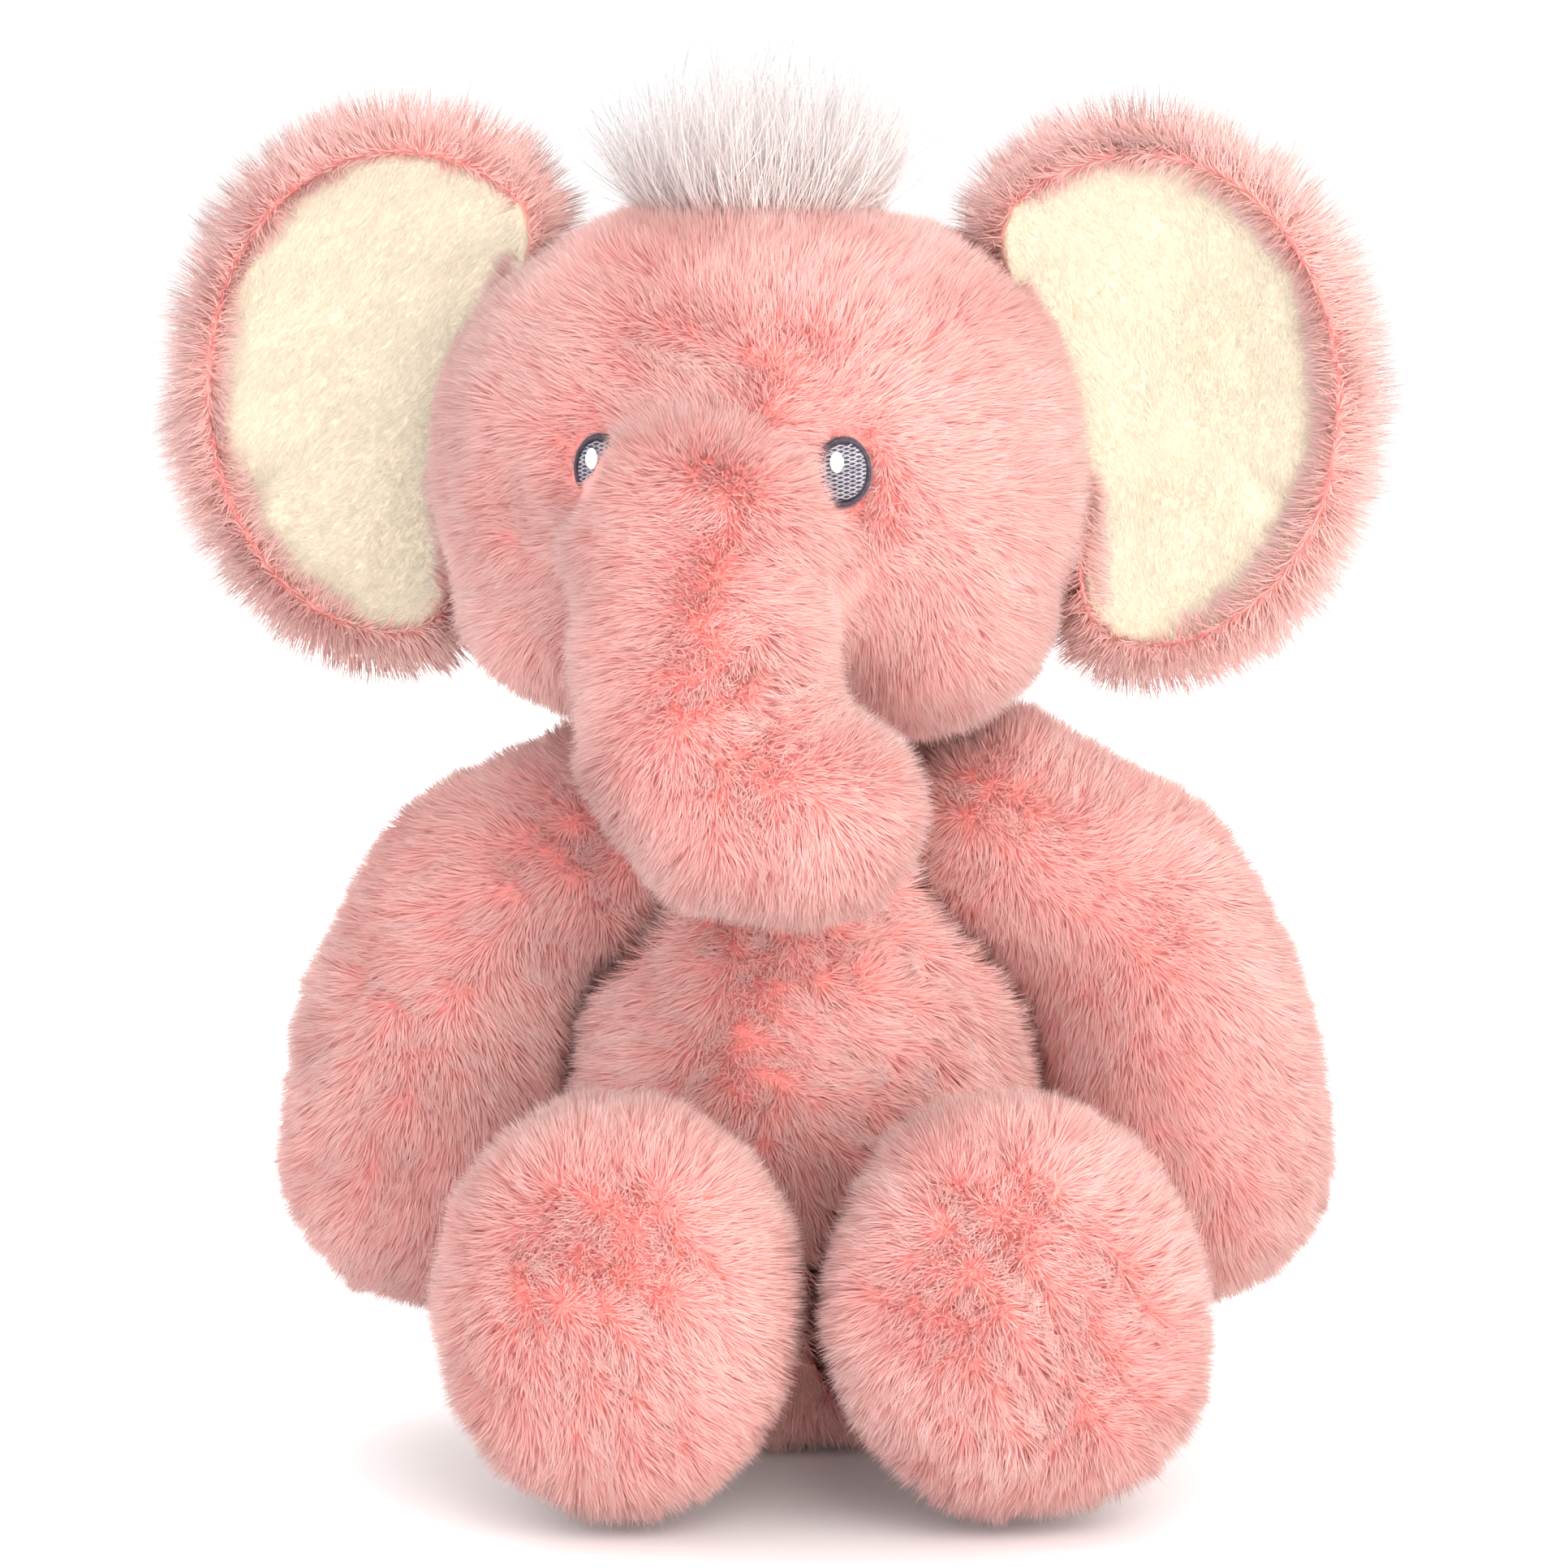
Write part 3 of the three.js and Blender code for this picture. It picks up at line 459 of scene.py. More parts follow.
def strand_mesh(name, roots, normals, tips, widths, tones, random, stiffness=0.55, segments=1):
    """One mesh of flat strands, each rising from its root along the normal and bending over to its tip.

    UV: U is the strand's own tone and V runs from 0 at the root to 1 at the tip.
    """
    count = len(roots)
    reach = tips - roots
    lengths = np.linalg.norm(reach, axis=1, keepdims=True)
    knees = roots + normals * lengths * stiffness
    side = unit(np.cross(reach, random.normal(size=(count, 3))))
    facing = np.cross(side, reach)
    turned_in = (np.einsum("ij,ij->i", facing, normals) < 0)[:, None]
    side = np.where(turned_in, -side, side) * widths[:, None] / 2
    rows, shares = [], np.linspace(0, 1, segments + 1)
    for share in shares[:-1]:
        middle = roots * (1 - share) ** 2 + knees * 2 * share * (1 - share) + tips * share**2
        taper = 1 - 0.55 * share**1.5
        rows += [middle - side * taper, middle + side * taper]
    rows.append(tips)
    per = len(rows)
    places = np.stack(rows, axis=1).reshape(-1, 3)
    first = np.arange(count)[:, None] * per
    faces, corner_v, corner_u = [], [], []
    for step in range(segments - 1):
        faces.append(first + np.array([2 * step, 2 * step + 1, 2 * step + 3, 2 * step + 2]))
        corner_v += [shares[step]] * 2 + [shares[step + 1]] * 2
        corner_u += [-1, 1, 1, -1]
    faces.append(first + np.array([per - 3, per - 2, per - 1]))
    corner_v += [shares[-2]] * 2 + [1.0]
    corner_u += [-1, 1, 0]
    loops = np.concatenate(faces, axis=1).ravel()
    sizes = np.tile([4] * (segments - 1) + [3], count)
    starts = np.concatenate([[0], np.cumsum(sizes)[:-1]])

    mesh = bpy.data.meshes.new(name)
    mesh.vertices.add(len(places))
    mesh.vertices.foreach_set("co", places.astype(np.float32).ravel())
    mesh.loops.add(len(loops))
    mesh.loops.foreach_set("vertex_index", loops.astype(np.int32))
    mesh.polygons.add(len(sizes))
    mesh.polygons.foreach_set("loop_start", starts.astype(np.int32))
    mesh.polygons.foreach_set("use_smooth", np.ones(len(sizes), dtype=bool))
    corners = np.empty((count, len(corner_u), 2), dtype=np.float32)
    corners[:, :, 0] = np.clip(tones, 0.01, 0.99)[:, None] + np.array(corner_u) * 0.006
    corners[:, :, 1] = np.clip(corner_v, 0.004, 0.996)
    layer = mesh.uv_layers.new(name="OFBake")
    layer.uv.foreach_set("vector", corners.ravel())
    mesh.update(calc_edges=True)
    blended = unit(normals + 0.25 * unit(reach) + 0.28 * unit(random.normal(size=(count, 3))))
    mesh.normals_split_custom_set_from_vertices(np.repeat(blended, per, axis=0).astype(np.float32))
    return mesh


DENSITY = 5.6
STRAND_WIDTH = 0.35 * MM
MOST_STRANDS = 190000  # in one object
ROOT_SINK = 0.4 * MM  # how far a strand's root lies inside its skin


def pile(name, skin, seed, comb, length=PILE_LENGTH, density=1.0, keep=None, cut=None, lean=0.44,
         gather=0.36, width=1.0, material=PINK_PILE):
    """Covers a skin with pile and gives the new objects.

    comb gives the way the pile lies at each point and lean how far it lies down; keep says where it
    grows; cut scales its length; gather is how much its tips draw together in tufts.
    """
    points, normals, random = scattered(skin.data, DENSITY * density, seed, keep)
    swirl = ripple_vectors(points, 42 * MM, seed + 11) * 0.30
    swirl = swirl + ripple_vectors(points, 15 * MM, seed + 23) * 0.30
    tufts = clumping(points, 6.0 * MM, seed + 5) * gather
    tufts = tufts + clumping(points, 2.8 * MM, seed + 7) * gather * 0.6
    flow = comb(points, normals) * lean + swirl + tufts + random.normal(size=points.shape) * 0.17
    flow -= normals * np.einsum("ij,ij->i", flow, normals)[:, None]
    heading = unit(normals + flow)
    lengths = length * random.uniform(0.78, 1.08, len(points))
    lengths *= 1 + 0.10 * ripple(points, 9 * MM, seed + 3)
    lengths *= np.where(random.random(len(points)) < 0.03, 1.22, 1.0)
    if cut is not None:
        lengths = lengths * cut(points)
    alive = lengths > 0.6 * MM
    points, normals, heading, lengths = (values[alive] for values in (points, normals, heading, lengths))
    widths = STRAND_WIDTH * width * random.uniform(0.75, 1.25, len(points))
    tips = points + heading * lengths[:, None]
    tips[:, 2] = np.maximum(tips[:, 2], FLOOR_CLEARANCE)
    tones = 0.42 + 0.30 * ripple(points, 21 * MM, seed + 31) + 0.20 * ripple(points, 5 * MM, seed + 37)
    tones += random.normal(size=len(points)) * 0.10
    made = []
    parts = max(1, math.ceil(len(points) / MOST_STRANDS))
    for part in range(parts):
        take = slice(part, None, parts)
        label = name if parts == 1 else f"{name}_{part + 1}"
        mesh = strand_mesh(
            label, points[take] - normals[take] * ROOT_SINK, normals[take], tips[take], widths[take],
            tones[take], random,
        )
        made.append(finish_with(new_object(label, mesh), material))
    print(name, len(points), "strands")
    return made


def steady(direction):
    """A comb that is the same everywhere."""
    direction = np.array(direction, dtype=float)
    return lambda points, normals: np.broadcast_to(direction, points.shape)


# ---- where the frame puts things

def middle_of(node):
    low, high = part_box(node)
    return (Vector(low) + Vector(high)) / 2


def flat_frame(node, out):
    """Middle, and the across, up and out directions, of a thin flat node that faces about along out."""
    places = vertex_places(frame["nodes"][node].data)
    middle = (places.max(axis=0) + places.min(axis=0)) / 2
    values, vectors = np.linalg.eigh(np.cov((places - places.mean(axis=0)).T))
    facing = vectors[:, 0] if vectors[:, 0] @ np.array(out) > 0 else -vectors[:, 0]
    across = unit(np.cross([0.0, 0.0, 1.0], facing)[None])[0]
    return middle, across, np.cross(facing, across), facing


def bounds_in(node, middle, across, up, facing):
    """How far a node reaches, from and to, along each of three directions from a middle."""
    places = vertex_places(frame["nodes"][node].data) - middle
    spans = []
    for direction in (across, up, facing):
        along = places @ direction
        spans.append((along.min(), along.max()))
    return spans


def pivot_of(joint):
    return np.array(joints[joint]["pos_m"])


# The face looks along FACE, and the elephant's own left is along LEFTWARD.
FACE = unit(np.array([joints["trunk_tip_curl"]["axis"]], dtype=float))[0]
LEFTWARD = -unit(np.array([joints["trunk_lift"]["axis"]], dtype=float))[0]
UP = np.array([0.0, 0.0, 1.0])
TRUNK_ROOT = pivot_of("trunk_lift")
TRUNK_BEND = pivot_of("trunk_tip_curl")
HEAD_MIDDLE = np.array(middle_of("head_stuffing"))


def carry(pieces, body):
    """Lets the pieces ride on a body."""
    for piece in pieces:
        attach(piece, body)


def lumpy(piece, size, height, seed):
    """Pushes the skin in and out softly, as uneven stuffing does."""
    places = vertex_places(piece.data)
    normals = vertex_normals(piece.data)
    move_vertices(piece.data, places + normals * (ripple(places, size, seed) * height)[:, None])
    return piece


def pressed(piece, centre, radius, depth, direction):
    """A soft dimple: pushes the skin along direction around a point."""
    places = vertex_places(piece.data)
    distance = np.linalg.norm(places - np.array(centre), axis=1)
    share = 1 - smooth(0, radius, distance)
    move_vertices(piece.data, places + np.array(direction) * (share * depth)[:, None])
    return piece


# ---- torso and neck

PANELS = {
    "torso": ["torso_front_panel", "torso_back_left_panel", "torso_back_right_panel", "seat_panel"],
    "head": ["head_left_panel", "head_right_panel", "head_gusset", "chin_panel"],
    "trunk": ["trunk_left_panel", "trunk_right_panel"],
    "trunk_tip": ["trunk_tip_front_panel", "trunk_tip_back_panel"],
}
for side in SIDES:
    PANELS[f"arm_{side}"] = [f"arm_{side}_front_panel", f"arm_{side}_back_panel"]
    PANELS[f"leg_{side}"] = [f"leg_{side}_top_panel", f"leg_{side}_bottom_panel", f"leg_{side}_sole"]

torso = skin_of("torso_cover", PANELS["torso"], ["torso_stuffing"])
lumpy(torso, 38 * MM, 1.3 * MM, 3)
for side, sign in SIDES.items():
    waist = np.array([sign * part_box("torso_stuffing")[1][0], 0, WAIST_HEIGHT])
    pressed(torso, waist, 62 * MM, 4.5 * MM, [sign, 0, 0])
finish_with(torso, PINK_BACKING)
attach(torso, "torso")
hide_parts(*PANELS["torso"])


def belly_comb(points, normals):
    """Down the body and outwards to the sides, more so on the belly's left."""
    across = np.tanh((points[:, 0] + 12 * MM) / (14 * MM))[:, None] * np.array([0.6, 0, 0])
    return across + np.array([0, 0, -0.75])


carry(pile("torso_pile", torso, 100, belly_comb, gather=0.42), "torso")

neck = skin_of("neck_cover", [], ["neck_stuffing"], fatten=2.0 * MM)
finish_with(neck, PINK_BACKING)
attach(neck, "neck")
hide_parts("neck_stuffing")
carry(pile("neck_pile", neck, 110, steady([0, 0, -0.4])), "neck")

# ---- head and trunk, parted at the tip

def egg(centre, half_sizes):
    """A stuffed swelling, upright in the head's own turn."""
    bm = bmesh.new()
    turn = Matrix((tuple(LEFTWARD), tuple(-FACE), tuple(UP))).transposed().to_4x4()
    matrix = Matrix.Translation(Vector(centre)) @ turn @ Matrix.Diagonal((*half_sizes, 1))
    bmesh.ops.create_icosphere(bm, subdivisions=4, radius=1, matrix=matrix)
    mesh = bpy.data.meshes.new("swelling")
    bm.to_mesh(mesh)
    bm.free()
    return mesh


brow = egg(TRUNK_ROOT - LEFTWARD * 3 * MM + FACE * 1 * MM + UP * 10 * MM, (31 * MM, 30 * MM, 29 * MM))
bridge = egg(TRUNK_ROOT - LEFTWARD * 1 * MM + FACE * 12 * MM - UP * 12 * MM, (30 * MM, 29 * MM, 28 * MM))
# Full cheeks, the round of the trunk's bend, and the round end of its tip.
cheeks = [
    egg(HEAD_MIDDLE + LEFTWARD * aside * MM - UP * down * MM + FACE * 6 * MM, (33 * MM, 40 * MM, 31 * MM))
    for aside, down in ((-37, 28), (36, 31))
]
bend = egg(TRUNK_BEND, (28.5 * MM, 28.5 * MM, 28.5 * MM))
tip_end_round = egg(TRUNK_BEND + LEFTWARD * 23 * MM - UP * 14 * MM, (26 * MM, 25 * MM, 25.5 * MM))
whole = skin_of(
    "head_cover",
    PANELS["head"],
    ["head_stuffing", "trunk_stuffing", "trunk_tip_stuffing"] + PANELS["trunk"] + PANELS["trunk_tip"],
    fatten=1.3 * MM,
    extra=(brow, bridge, bend, tip_end_round, *cheeks),
    rounds=9,
)
lumpy(whole, 34 * MM, 1.0 * MM, 9)
dimple = np.array(middle_of("eye_right_outline")) - LEFTWARD * 21 * MM - UP * 9 * MM - FACE * 5 * MM
pressed(whole, dimple, 15 * MM, 6 * MM, LEFTWARD * 0.5 - FACE * 0.85)

# Which way, and from where to where, the skin passes from the head to the trunk, and on to its tip.
TO_TIP = unit((LEFTWARD * 0.6 - UP * 0.8)[None])[0]


tip_start = TRUNK_BEND - TO_TIP * 12 * MM


def beyond_tip(points):
    """Which points are on the tip's side of its start, in front of the chin."""
    along = (points - tip_start) @ TO_TIP
    ahead = (points - TRUNK_ROOT) @ FACE
    near = np.linalg.norm(points - TRUNK_BEND, axis=1)
    return (along > 0) & (ahead > -13 * MM) & (near < 75 * MM)


eyes = {side: flat_frame(f"eye_{side}_outline", FACE) for side in SIDES}


def eye_distance(points):
    """How far outside the nearest eye's rim each point is, as a share of the eye's size."""
    nearest = np.full(len(points), 9.0)
    for side, (middle, across, up, facing) in eyes.items():
        (west, east), (low, high), _ = bounds_in(f"eye_{side}_outline", middle, across, up, facing)
        offset = points - middle
        share = np.hypot(offset @ across / ((east - west) / 2), offset @ up / ((high - low) / 2))
        share = np.where(np.abs(offset @ facing) < 22 * MM, share, 9.0)
        nearest = np.minimum(nearest, share)
    return nearest


PATCH_DEPTH = 7 * MM


def split_off(piece, name, chosen):
    """Moves the chosen faces, judged at their middles, to a new object, and closes both with a patch.

    The patches are drawn inwards to a point, so that they stay under the skin along a ragged edge.
    """
    bm = bmesh.new()
    bm.from_mesh(piece.data)
    bm.faces.ensure_lookup_table()
    middles = np.array([face.calc_center_median()[:] for face in bm.faces])
    picked = chosen(middles)
    other = bm.copy()
    for part, keep in ((bm, ~picked), (other, picked)):
        part.faces.ensure_lookup_table()
        doomed = [face for face, stays in zip(part.faces, keep) if not stays]
        bmesh.ops.delete(part, geom=doomed, context="FACES")
        loops = [edge for edge in part.edges if edge.is_boundary]
        for edge in loops:
            edge.smooth = False
        patches = bmesh.ops.holes_fill(part, edges=loops, sides=0)["faces"]
        inside = sum((vertex.co for vertex in part.verts), Vector()) / len(part.verts)
        for vertex in bmesh.ops.poke(part, faces=patches)["verts"]:
            vertex.co += (inside - vertex.co).normalized() * PATCH_DEPTH
    mesh = bpy.data.meshes.new(name)
    other.to_mesh(mesh)
    bm.to_mesh(piece.data)
    bm.free()
    other.free()
    return smooth_shaded(new_object(name, mesh))


full_skin = whole.data.copy()
tip = split_off(whole, "trunk_tip_cover", beyond_tip)
smooth_shaded(whole)
for piece, fill in ((whole, 0.9), (tip, 0.8)):
    finish_with(piece, PINK_BACKING)
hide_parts(*PANELS["head"], *PANELS["trunk"])
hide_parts(*PANELS["trunk_tip"])


def face_comb(points, normals):
    """On the face outwards from the trunk's root, on the trunk down and out to its sides."""
    from_root = away(points, TRUNK_ROOT + UP * 36 * MM, 48 * MM)
    ahead = (points - TRUNK_ROOT) @ FACE
    on_trunk = smooth(4 * MM, 26 * MM, ahead)[:, None]
    aside = ((points - TRUNK_BEND) @ LEFTWARD / (20 * MM))[:, None] * LEFTWARD
    down_trunk = -UP * 0.55 + np.clip(aside, -0.5, 0.5) * 0.6
    return from_root * (1 - on_trunk) + down_trunk * on_trunk - UP * 0.15


def tip_comb(points, normals):
    return away(points, TRUNK_BEND + UP * 46 * MM - FACE * 10 * MM - LEFTWARD * 12 * MM, 30 * MM)


def trimmed_at_eyes(points):
    return 0.32 + 0.68 * smooth(1.0, 1.75, eye_distance(points))


def on_tip(points, normals):
    return beyond_tip(points)


def off_eyes_and_tip(points, normals):
    return (~beyond_tip(points)) & (eye_distance(points) > 0.93)


skin = new_object("skin", full_skin)
made = pile("head_pile", skin, 120, face_comb, keep=off_eyes_and_tip, cut=trimmed_at_eyes, gather=0.26)
made_tip = pile("trunk_tip_pile", skin, 130, tip_comb, keep=on_tip, gather=0.26)
bpy.data.objects.remove(skin)
for piece in [whole] + made:
    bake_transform(piece)
for piece in [tip] + made_tip:
    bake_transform(piece)


# ---- arms and legs

def arm_comb(side):
    shoulder = pivot_of(f"arm_{side}_raise")

    def comb(points, normals):
        return away(points, shoulder + UP * 20 * MM, 25 * MM) * 0.8 - UP * 0.4

    return comb


def leg_comb(side):
    low, high = (np.array(v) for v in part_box(f"leg_{side}_sole"))
    whorl = (low + high) / 2 + np.array([0, -4 * MM, -6 * MM])

    def comb(points, normals):
        return away(points, whorl, 34 * MM) * 0.6 + np.array([0.1, 0.1, -0.35])

    return comb


for side, seed in (("left", 200), ("right", 300)):
    for limb, comb, fill in ((f"arm_{side}", arm_comb(side), 0.8), (f"leg_{side}", leg_comb(side), 0.85)):
        cover = skin_of(f"{limb}_cover", PANELS[limb], [f"{limb}_stuffing"], rounds=16)
        lumpy(cover, 32 * MM, 1.5 * MM, seed + 1)
        low, high = (np.array(v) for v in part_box(PANELS[limb][0]))
        inner = np.array([low[0] if side == "left" else high[0], (low[1] + high[1]) / 2, WAIST_HEIGHT])
        if limb == f"arm_{side}":
            pressed(cover, inner, 60 * MM, 4.5 * MM, [-SIDES[side], 0, 0])
        if limb == "leg_left":
            sole_low, sole_high = (np.array(v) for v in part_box("leg_left_sole"))
            pressed(cover, sole_high - [8 * MM, 0, 62 * MM], 46 * MM, 6 * MM, [1, -0.1, -0.15])
            pressed(cover, sole_low + [0, 0, 42 * MM], 48 * MM, 5 * MM, [-1, 0, 0.1])
        finish_with(cover, PINK_BACKING)
        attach(cover, limb)
        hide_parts(*PANELS[limb])
        carry(pile(f"{limb}_pile", cover, seed + 5, comb), limb)
        seed += 40

# ---- the filling inside

for body in ("torso", "head", "trunk", "trunk_tip", "arm_left", "arm_right", "leg_left", "leg_right"):
    node = f"{body}_stuffing"
    filling = remeshed(joined(f"{body}_fibre", [fattened(node, -3.2 * MM)]), 5 * MM)
    lumpy(filling, 14 * MM, 1.2 * MM, 17)
    finish_with(smooth_shaded(filling), FIBRE)
    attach(filling, body)
    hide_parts(node)

pouch = remeshed(joined("pellet_pouch_cloth", [fattened("pellet_pouch", 0.0)]), 2.5 * MM)
lumpy(pouch, 4 * MM, 0.5 * MM, 19)
finish_with(smooth_shaded(pouch), POUCH_COTTON)
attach(pouch, "torso")
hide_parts("pellet_pouch")


# ---- ears

AROUND = 96  # corners round an ear's outline
PLEAT_TURN = {"left": 5.6, "right": 3.8}  # radians, from the right-hand side anticlockwise
PLEAT_DEPTH = 1.8 * MM
EAR_DISH = 7.5 * MM
NAP_LENGTH = 2.4 * MM  # of the lining's short velboa
HIDDEN_EDGE = {"left": 9 * MM, "right": 6 * MM}  # how far each ear's inner edge runs on behind the head


def outline_radii(node, middle, across, up, facing):
    """How far a flat node reaches from its middle in each of AROUND directions."""
    tree = tree_of(frame["nodes"][node].data)
    spans = bounds_in(node, middle, across, up, facing)
    radii = []
    for turn in np.arange(AROUND) * 2 * math.pi / AROUND + 0.003:
        ray = across * math.cos(turn) + up * math.sin(turn)
        reach = 0.02
        for share in (0.23, 0.37, 0.51, 0.66, 0.79):
            depth = spans[2][0] * (1 - share) + spans[2][1] * share
            hit = tree.ray_cast(Vector(middle + facing * depth + ray * 0.2), Vector(-ray))
            if hit[0] is not None:
                reach = max(reach, 0.2 - hit[3])
        radii.append(reach)
    return rounded(np.array(radii), 1)


def rounded(radii, times):
    """The outline's radii, evened out along it."""
    for _ in range(times):
        near = np.roll(radii, 1) + np.roll(radii, -1)
        far = np.roll(radii, 2) + np.roll(radii, -2)
        radii = (far + 2 * near + 3 * radii) / 9
    return radii


def disc(name, radii, heights, middle, across, up, facing, rings=30):
    """A closed disc-like skin: heights(share, turn) gives its front and back; share is 1 at the rim."""
    turns = np.arange(AROUND) * 2 * math.pi / AROUND
    shares = np.sin(np.linspace(0, math.pi / 2, rings + 1))[1:]
    rows = {"front": [], "back": []}
    for share in shares:
        front, back = heights(np.full(AROUND, share), turns)
        rays = np.cos(turns)[:, None] * across + np.sin(turns)[:, None] * up
        flat = middle + (radii * share)[:, None] * rays
        rows["front"].append(flat + front[:, None] * facing)
        rows["back"].append(flat + back[:, None] * facing)
    front, back = heights(np.zeros(1), np.zeros(1))
    places = [middle + facing * front[0]] + [p for row in rows["front"] for p in row]
    back_first = len(places)
    places += [middle + facing * back[0]] + [p for row in rows["back"] for p in row]
    faces = []
    for start, flip in ((0, False), (back_first, True)):
        made = [(start, start + 1 + i, start + 1 + (i + 1) % AROUND) for i in range(AROUND)]
        for ring in range(rings - 1):
            inner, outer = start + 1 + ring * AROUND, start + 1 + (ring + 1) * AROUND
            made += [
                (inner + i, outer + i, outer + (i + 1) % AROUND, inner + (i + 1) % AROUND)
                for i in range(AROUND)
            ]
        faces += [tuple(reversed(face)) for face in made] if flip else made
    edge_front, edge_back = 1 + (rings - 1) * AROUND, back_first + 1 + (rings - 1) * AROUND
    faces += [
        (edge_front + i, edge_back + i, edge_back + (i + 1) % AROUND, edge_front + (i + 1) % AROUND)
        for i in range(AROUND)
    ]
    mesh = bpy.data.meshes.new(name)
    mesh.from_pydata([tuple(p) for p in places], [], faces)
    return smooth_shaded(new_object(name, mesh))


def make_ear(side, seed):
    plate = f"ear_{side}_back"
    middle, across, up, facing = flat_frame(plate, FACE)
    spans = bounds_in(plate, middle, across, up, facing)
    outer = outline_radii(plate, middle, across, up, facing)
    lining_outer = outline_radii(f"ear_{side}_lining", middle, across, up, facing)
    turns = np.arange(AROUND) * 2 * math.pi / AROUND
    inwards = smooth(0.55, 0.85, -np.cos(turns) * SIDES[side])
    hidden = HIDDEN_EDGE[side]
    lining_outer = lining_outer * 1.035
    edge = np.maximum(outer - 5.8 * MM, lining_outer + 1.0 * MM)
    edge = rounded(edge * (1 - inwards) + (outer + hidden) * inwards, 4)
    lining_outer = rounded(lining_outer * (1 - inwards) + (outer + hidden - 1 * MM) * inwards, 2)
    back_face, front_face = spans[2]
    front_rim, dish, swell = front_face - 3.0 * MM, EAR_DISH, 2.0 * MM

    def front_height(share, turn):
        """Dished in the middle, rolled up towards the rim, with one soft pleat low on the outer side."""
        lip = front_rim - dish * np.clip(1 - share**2, 0, 1) ** 0.9 - 4.0 * MM * smooth(0.93, 1.0, share)
        from_pleat = (turn - PLEAT_TURN[side] + math.pi) % (2 * math.pi) - math.pi
        pleat = np.exp(-(from_pleat / 0.10) ** 2)
        return lip - pleat * PLEAT_DEPTH * smooth(0.35, 0.75, share) * (1 - smooth(0.85, 1.0, share))

    def back_height(share, turn):
        flat = back_face + 5.2 * MM - swell * (1 - share**2) + 2.0 * MM * smooth(0.9, 1.0, share)
        return np.minimum(flat, front_height(share, turn) - 5.5 * MM * (1 - 0.5 * smooth(0.85, 1.0, share)))

    def whole_heights(share, turn):
        front, back = front_height(share, turn), back_height(share, turn)
        return np.maximum(front - 2.6 * MM * (share < 0.9), back + 0.8 * MM), back

    cover = disc(f"ear_{side}_cover", edge, whole_heights, middle, across, up, facing)
    finish_with(cover, PINK_BACKING)
    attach(cover, f"ear_{side}")
    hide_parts(plate)

    ratio = np.minimum(lining_outer / edge, 0.955)

    def lining_heights(share, turn):
        at = share * (np.interp(turn, turns, ratio) if len(share) > 1 else 0)
        front = front_height(at, turn) + 0.9 * MM - 2.0 * MM * smooth(0.94, 1.0, share)
        return front, front - 1.4 * MM

    lining = disc(f"ear_{side}_lining_cloth", edge * ratio, lining_heights, middle, across, up, facing)
    finish_with(lining, CREAM_CLOTH)
    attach(lining, f"ear_{side}")
    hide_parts(f"ear_{side}_lining")

    def wadding_heights(share, turn):
        at = share * 0.86
        back = back_height(at, turn) + 0.6 * MM
        return np.maximum(front_height(at, turn) - 3.6 * MM, back + 0.4 * MM), back

    wadding_edge = np.minimum(edge * 0.86, outer * (0.88 - 0.10 * inwards))
    wadding = disc(f"ear_{side}_fibre", wadding_edge, wadding_heights, middle, across, up, facing, rings=10)
    finish_with(wadding, FIBRE)
    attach(wadding, f"ear_{side}")
    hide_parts(f"ear_{side}_wadding")

    def place_in(points):
        offset = points - middle
        return offset @ across, offset @ up, offset @ facing

    turns_table = np.arange(AROUND + 1) * 2 * math.pi / AROUND

    def share_of(points, table):
        east, north, _ = place_in(points)
        turn = np.arctan2(north, east) % (2 * math.pi)
        return np.hypot(east, north) / np.interp(turn, turns_table, np.append(table, table[0]))

    def rim_and_back(points, normals):
        """The pile grows on the back and over the rim, up to where the lining begins."""
        return (normals @ facing < 0.2) | (share_of(points, edge * ratio) > 0.97)

    def ear_comb(points, normals):
        east, north, _ = place_in(points)
        outwards = unit(east[:, None] * across + north[:, None] * up)
        return outwards * (0.05 + 0.75 * smooth(0.94, 1.05, share_of(points, edge)))[:, None]

    def rim_longer(points):
        uneven = np.random.default_rng(seed).uniform(0.5, 1.05, len(points))
        return 0.95 + 0.60 * smooth(0.85, 1.0, share_of(points, edge)) * uneven

    def nap_comb(points, normals):
        return np.broadcast_to(across * SIDES[side] * 0.7 - up * 0.9, points.shape)

    def front_only(points, normals):
        return normals @ facing > 0.1

    # The rim and back pile wears the lighter copy of the pink pile: painted rim light.
    rim = pile(
        f"ear_{side}_pile", cover, seed, ear_comb, keep=rim_and_back, cut=rim_longer, density=1.6,
        gather=0.16, material=RIM_PILE_PAINTED_LIGHT,
    )
    nap = pile(
        f"ear_{side}_nap", lining, seed + 9, nap_comb, length=NAP_LENGTH, density=1.9, width=0.55,
        gather=0.12, lean=1.0, keep=front_only, material=CREAM_NAP,
    )
    carry(rim + nap, f"ear_{side}")


for side, seed in (("left", 400), ("right", 450)):
    make_ear(side, seed)


# ---- embroidered eyes

def thread(path, widths, normals, thickness, sides=5):
    """Vertices and faces of one laid thread: a flattened tube along a path of points."""
    path = np.array(path)
    along = unit(np.gradient(path, axis=0))
    across = unit(np.cross(along, normals))
    out = unit(np.cross(across, along))
    places, faces = [], []
    for i, point in enumerate(path):
        for turn in np.arange(sides) * 2 * math.pi / sides:
            aside = across[i] * widths[i] / 2 * math.cos(turn)
            places.append(point + aside + out[i] * thickness / 2 * math.sin(turn))
    last = len(path) - 1
    for i in range(last):
        for k in range(sides):
            a, b = i * sides + k, i * sides + (k + 1) % sides
            faces.append((a, b, b + sides, a + sides))
    faces += [tuple(reversed(range(sides))), tuple(range(last * sides, (last + 1) * sides))]
    return places, faces


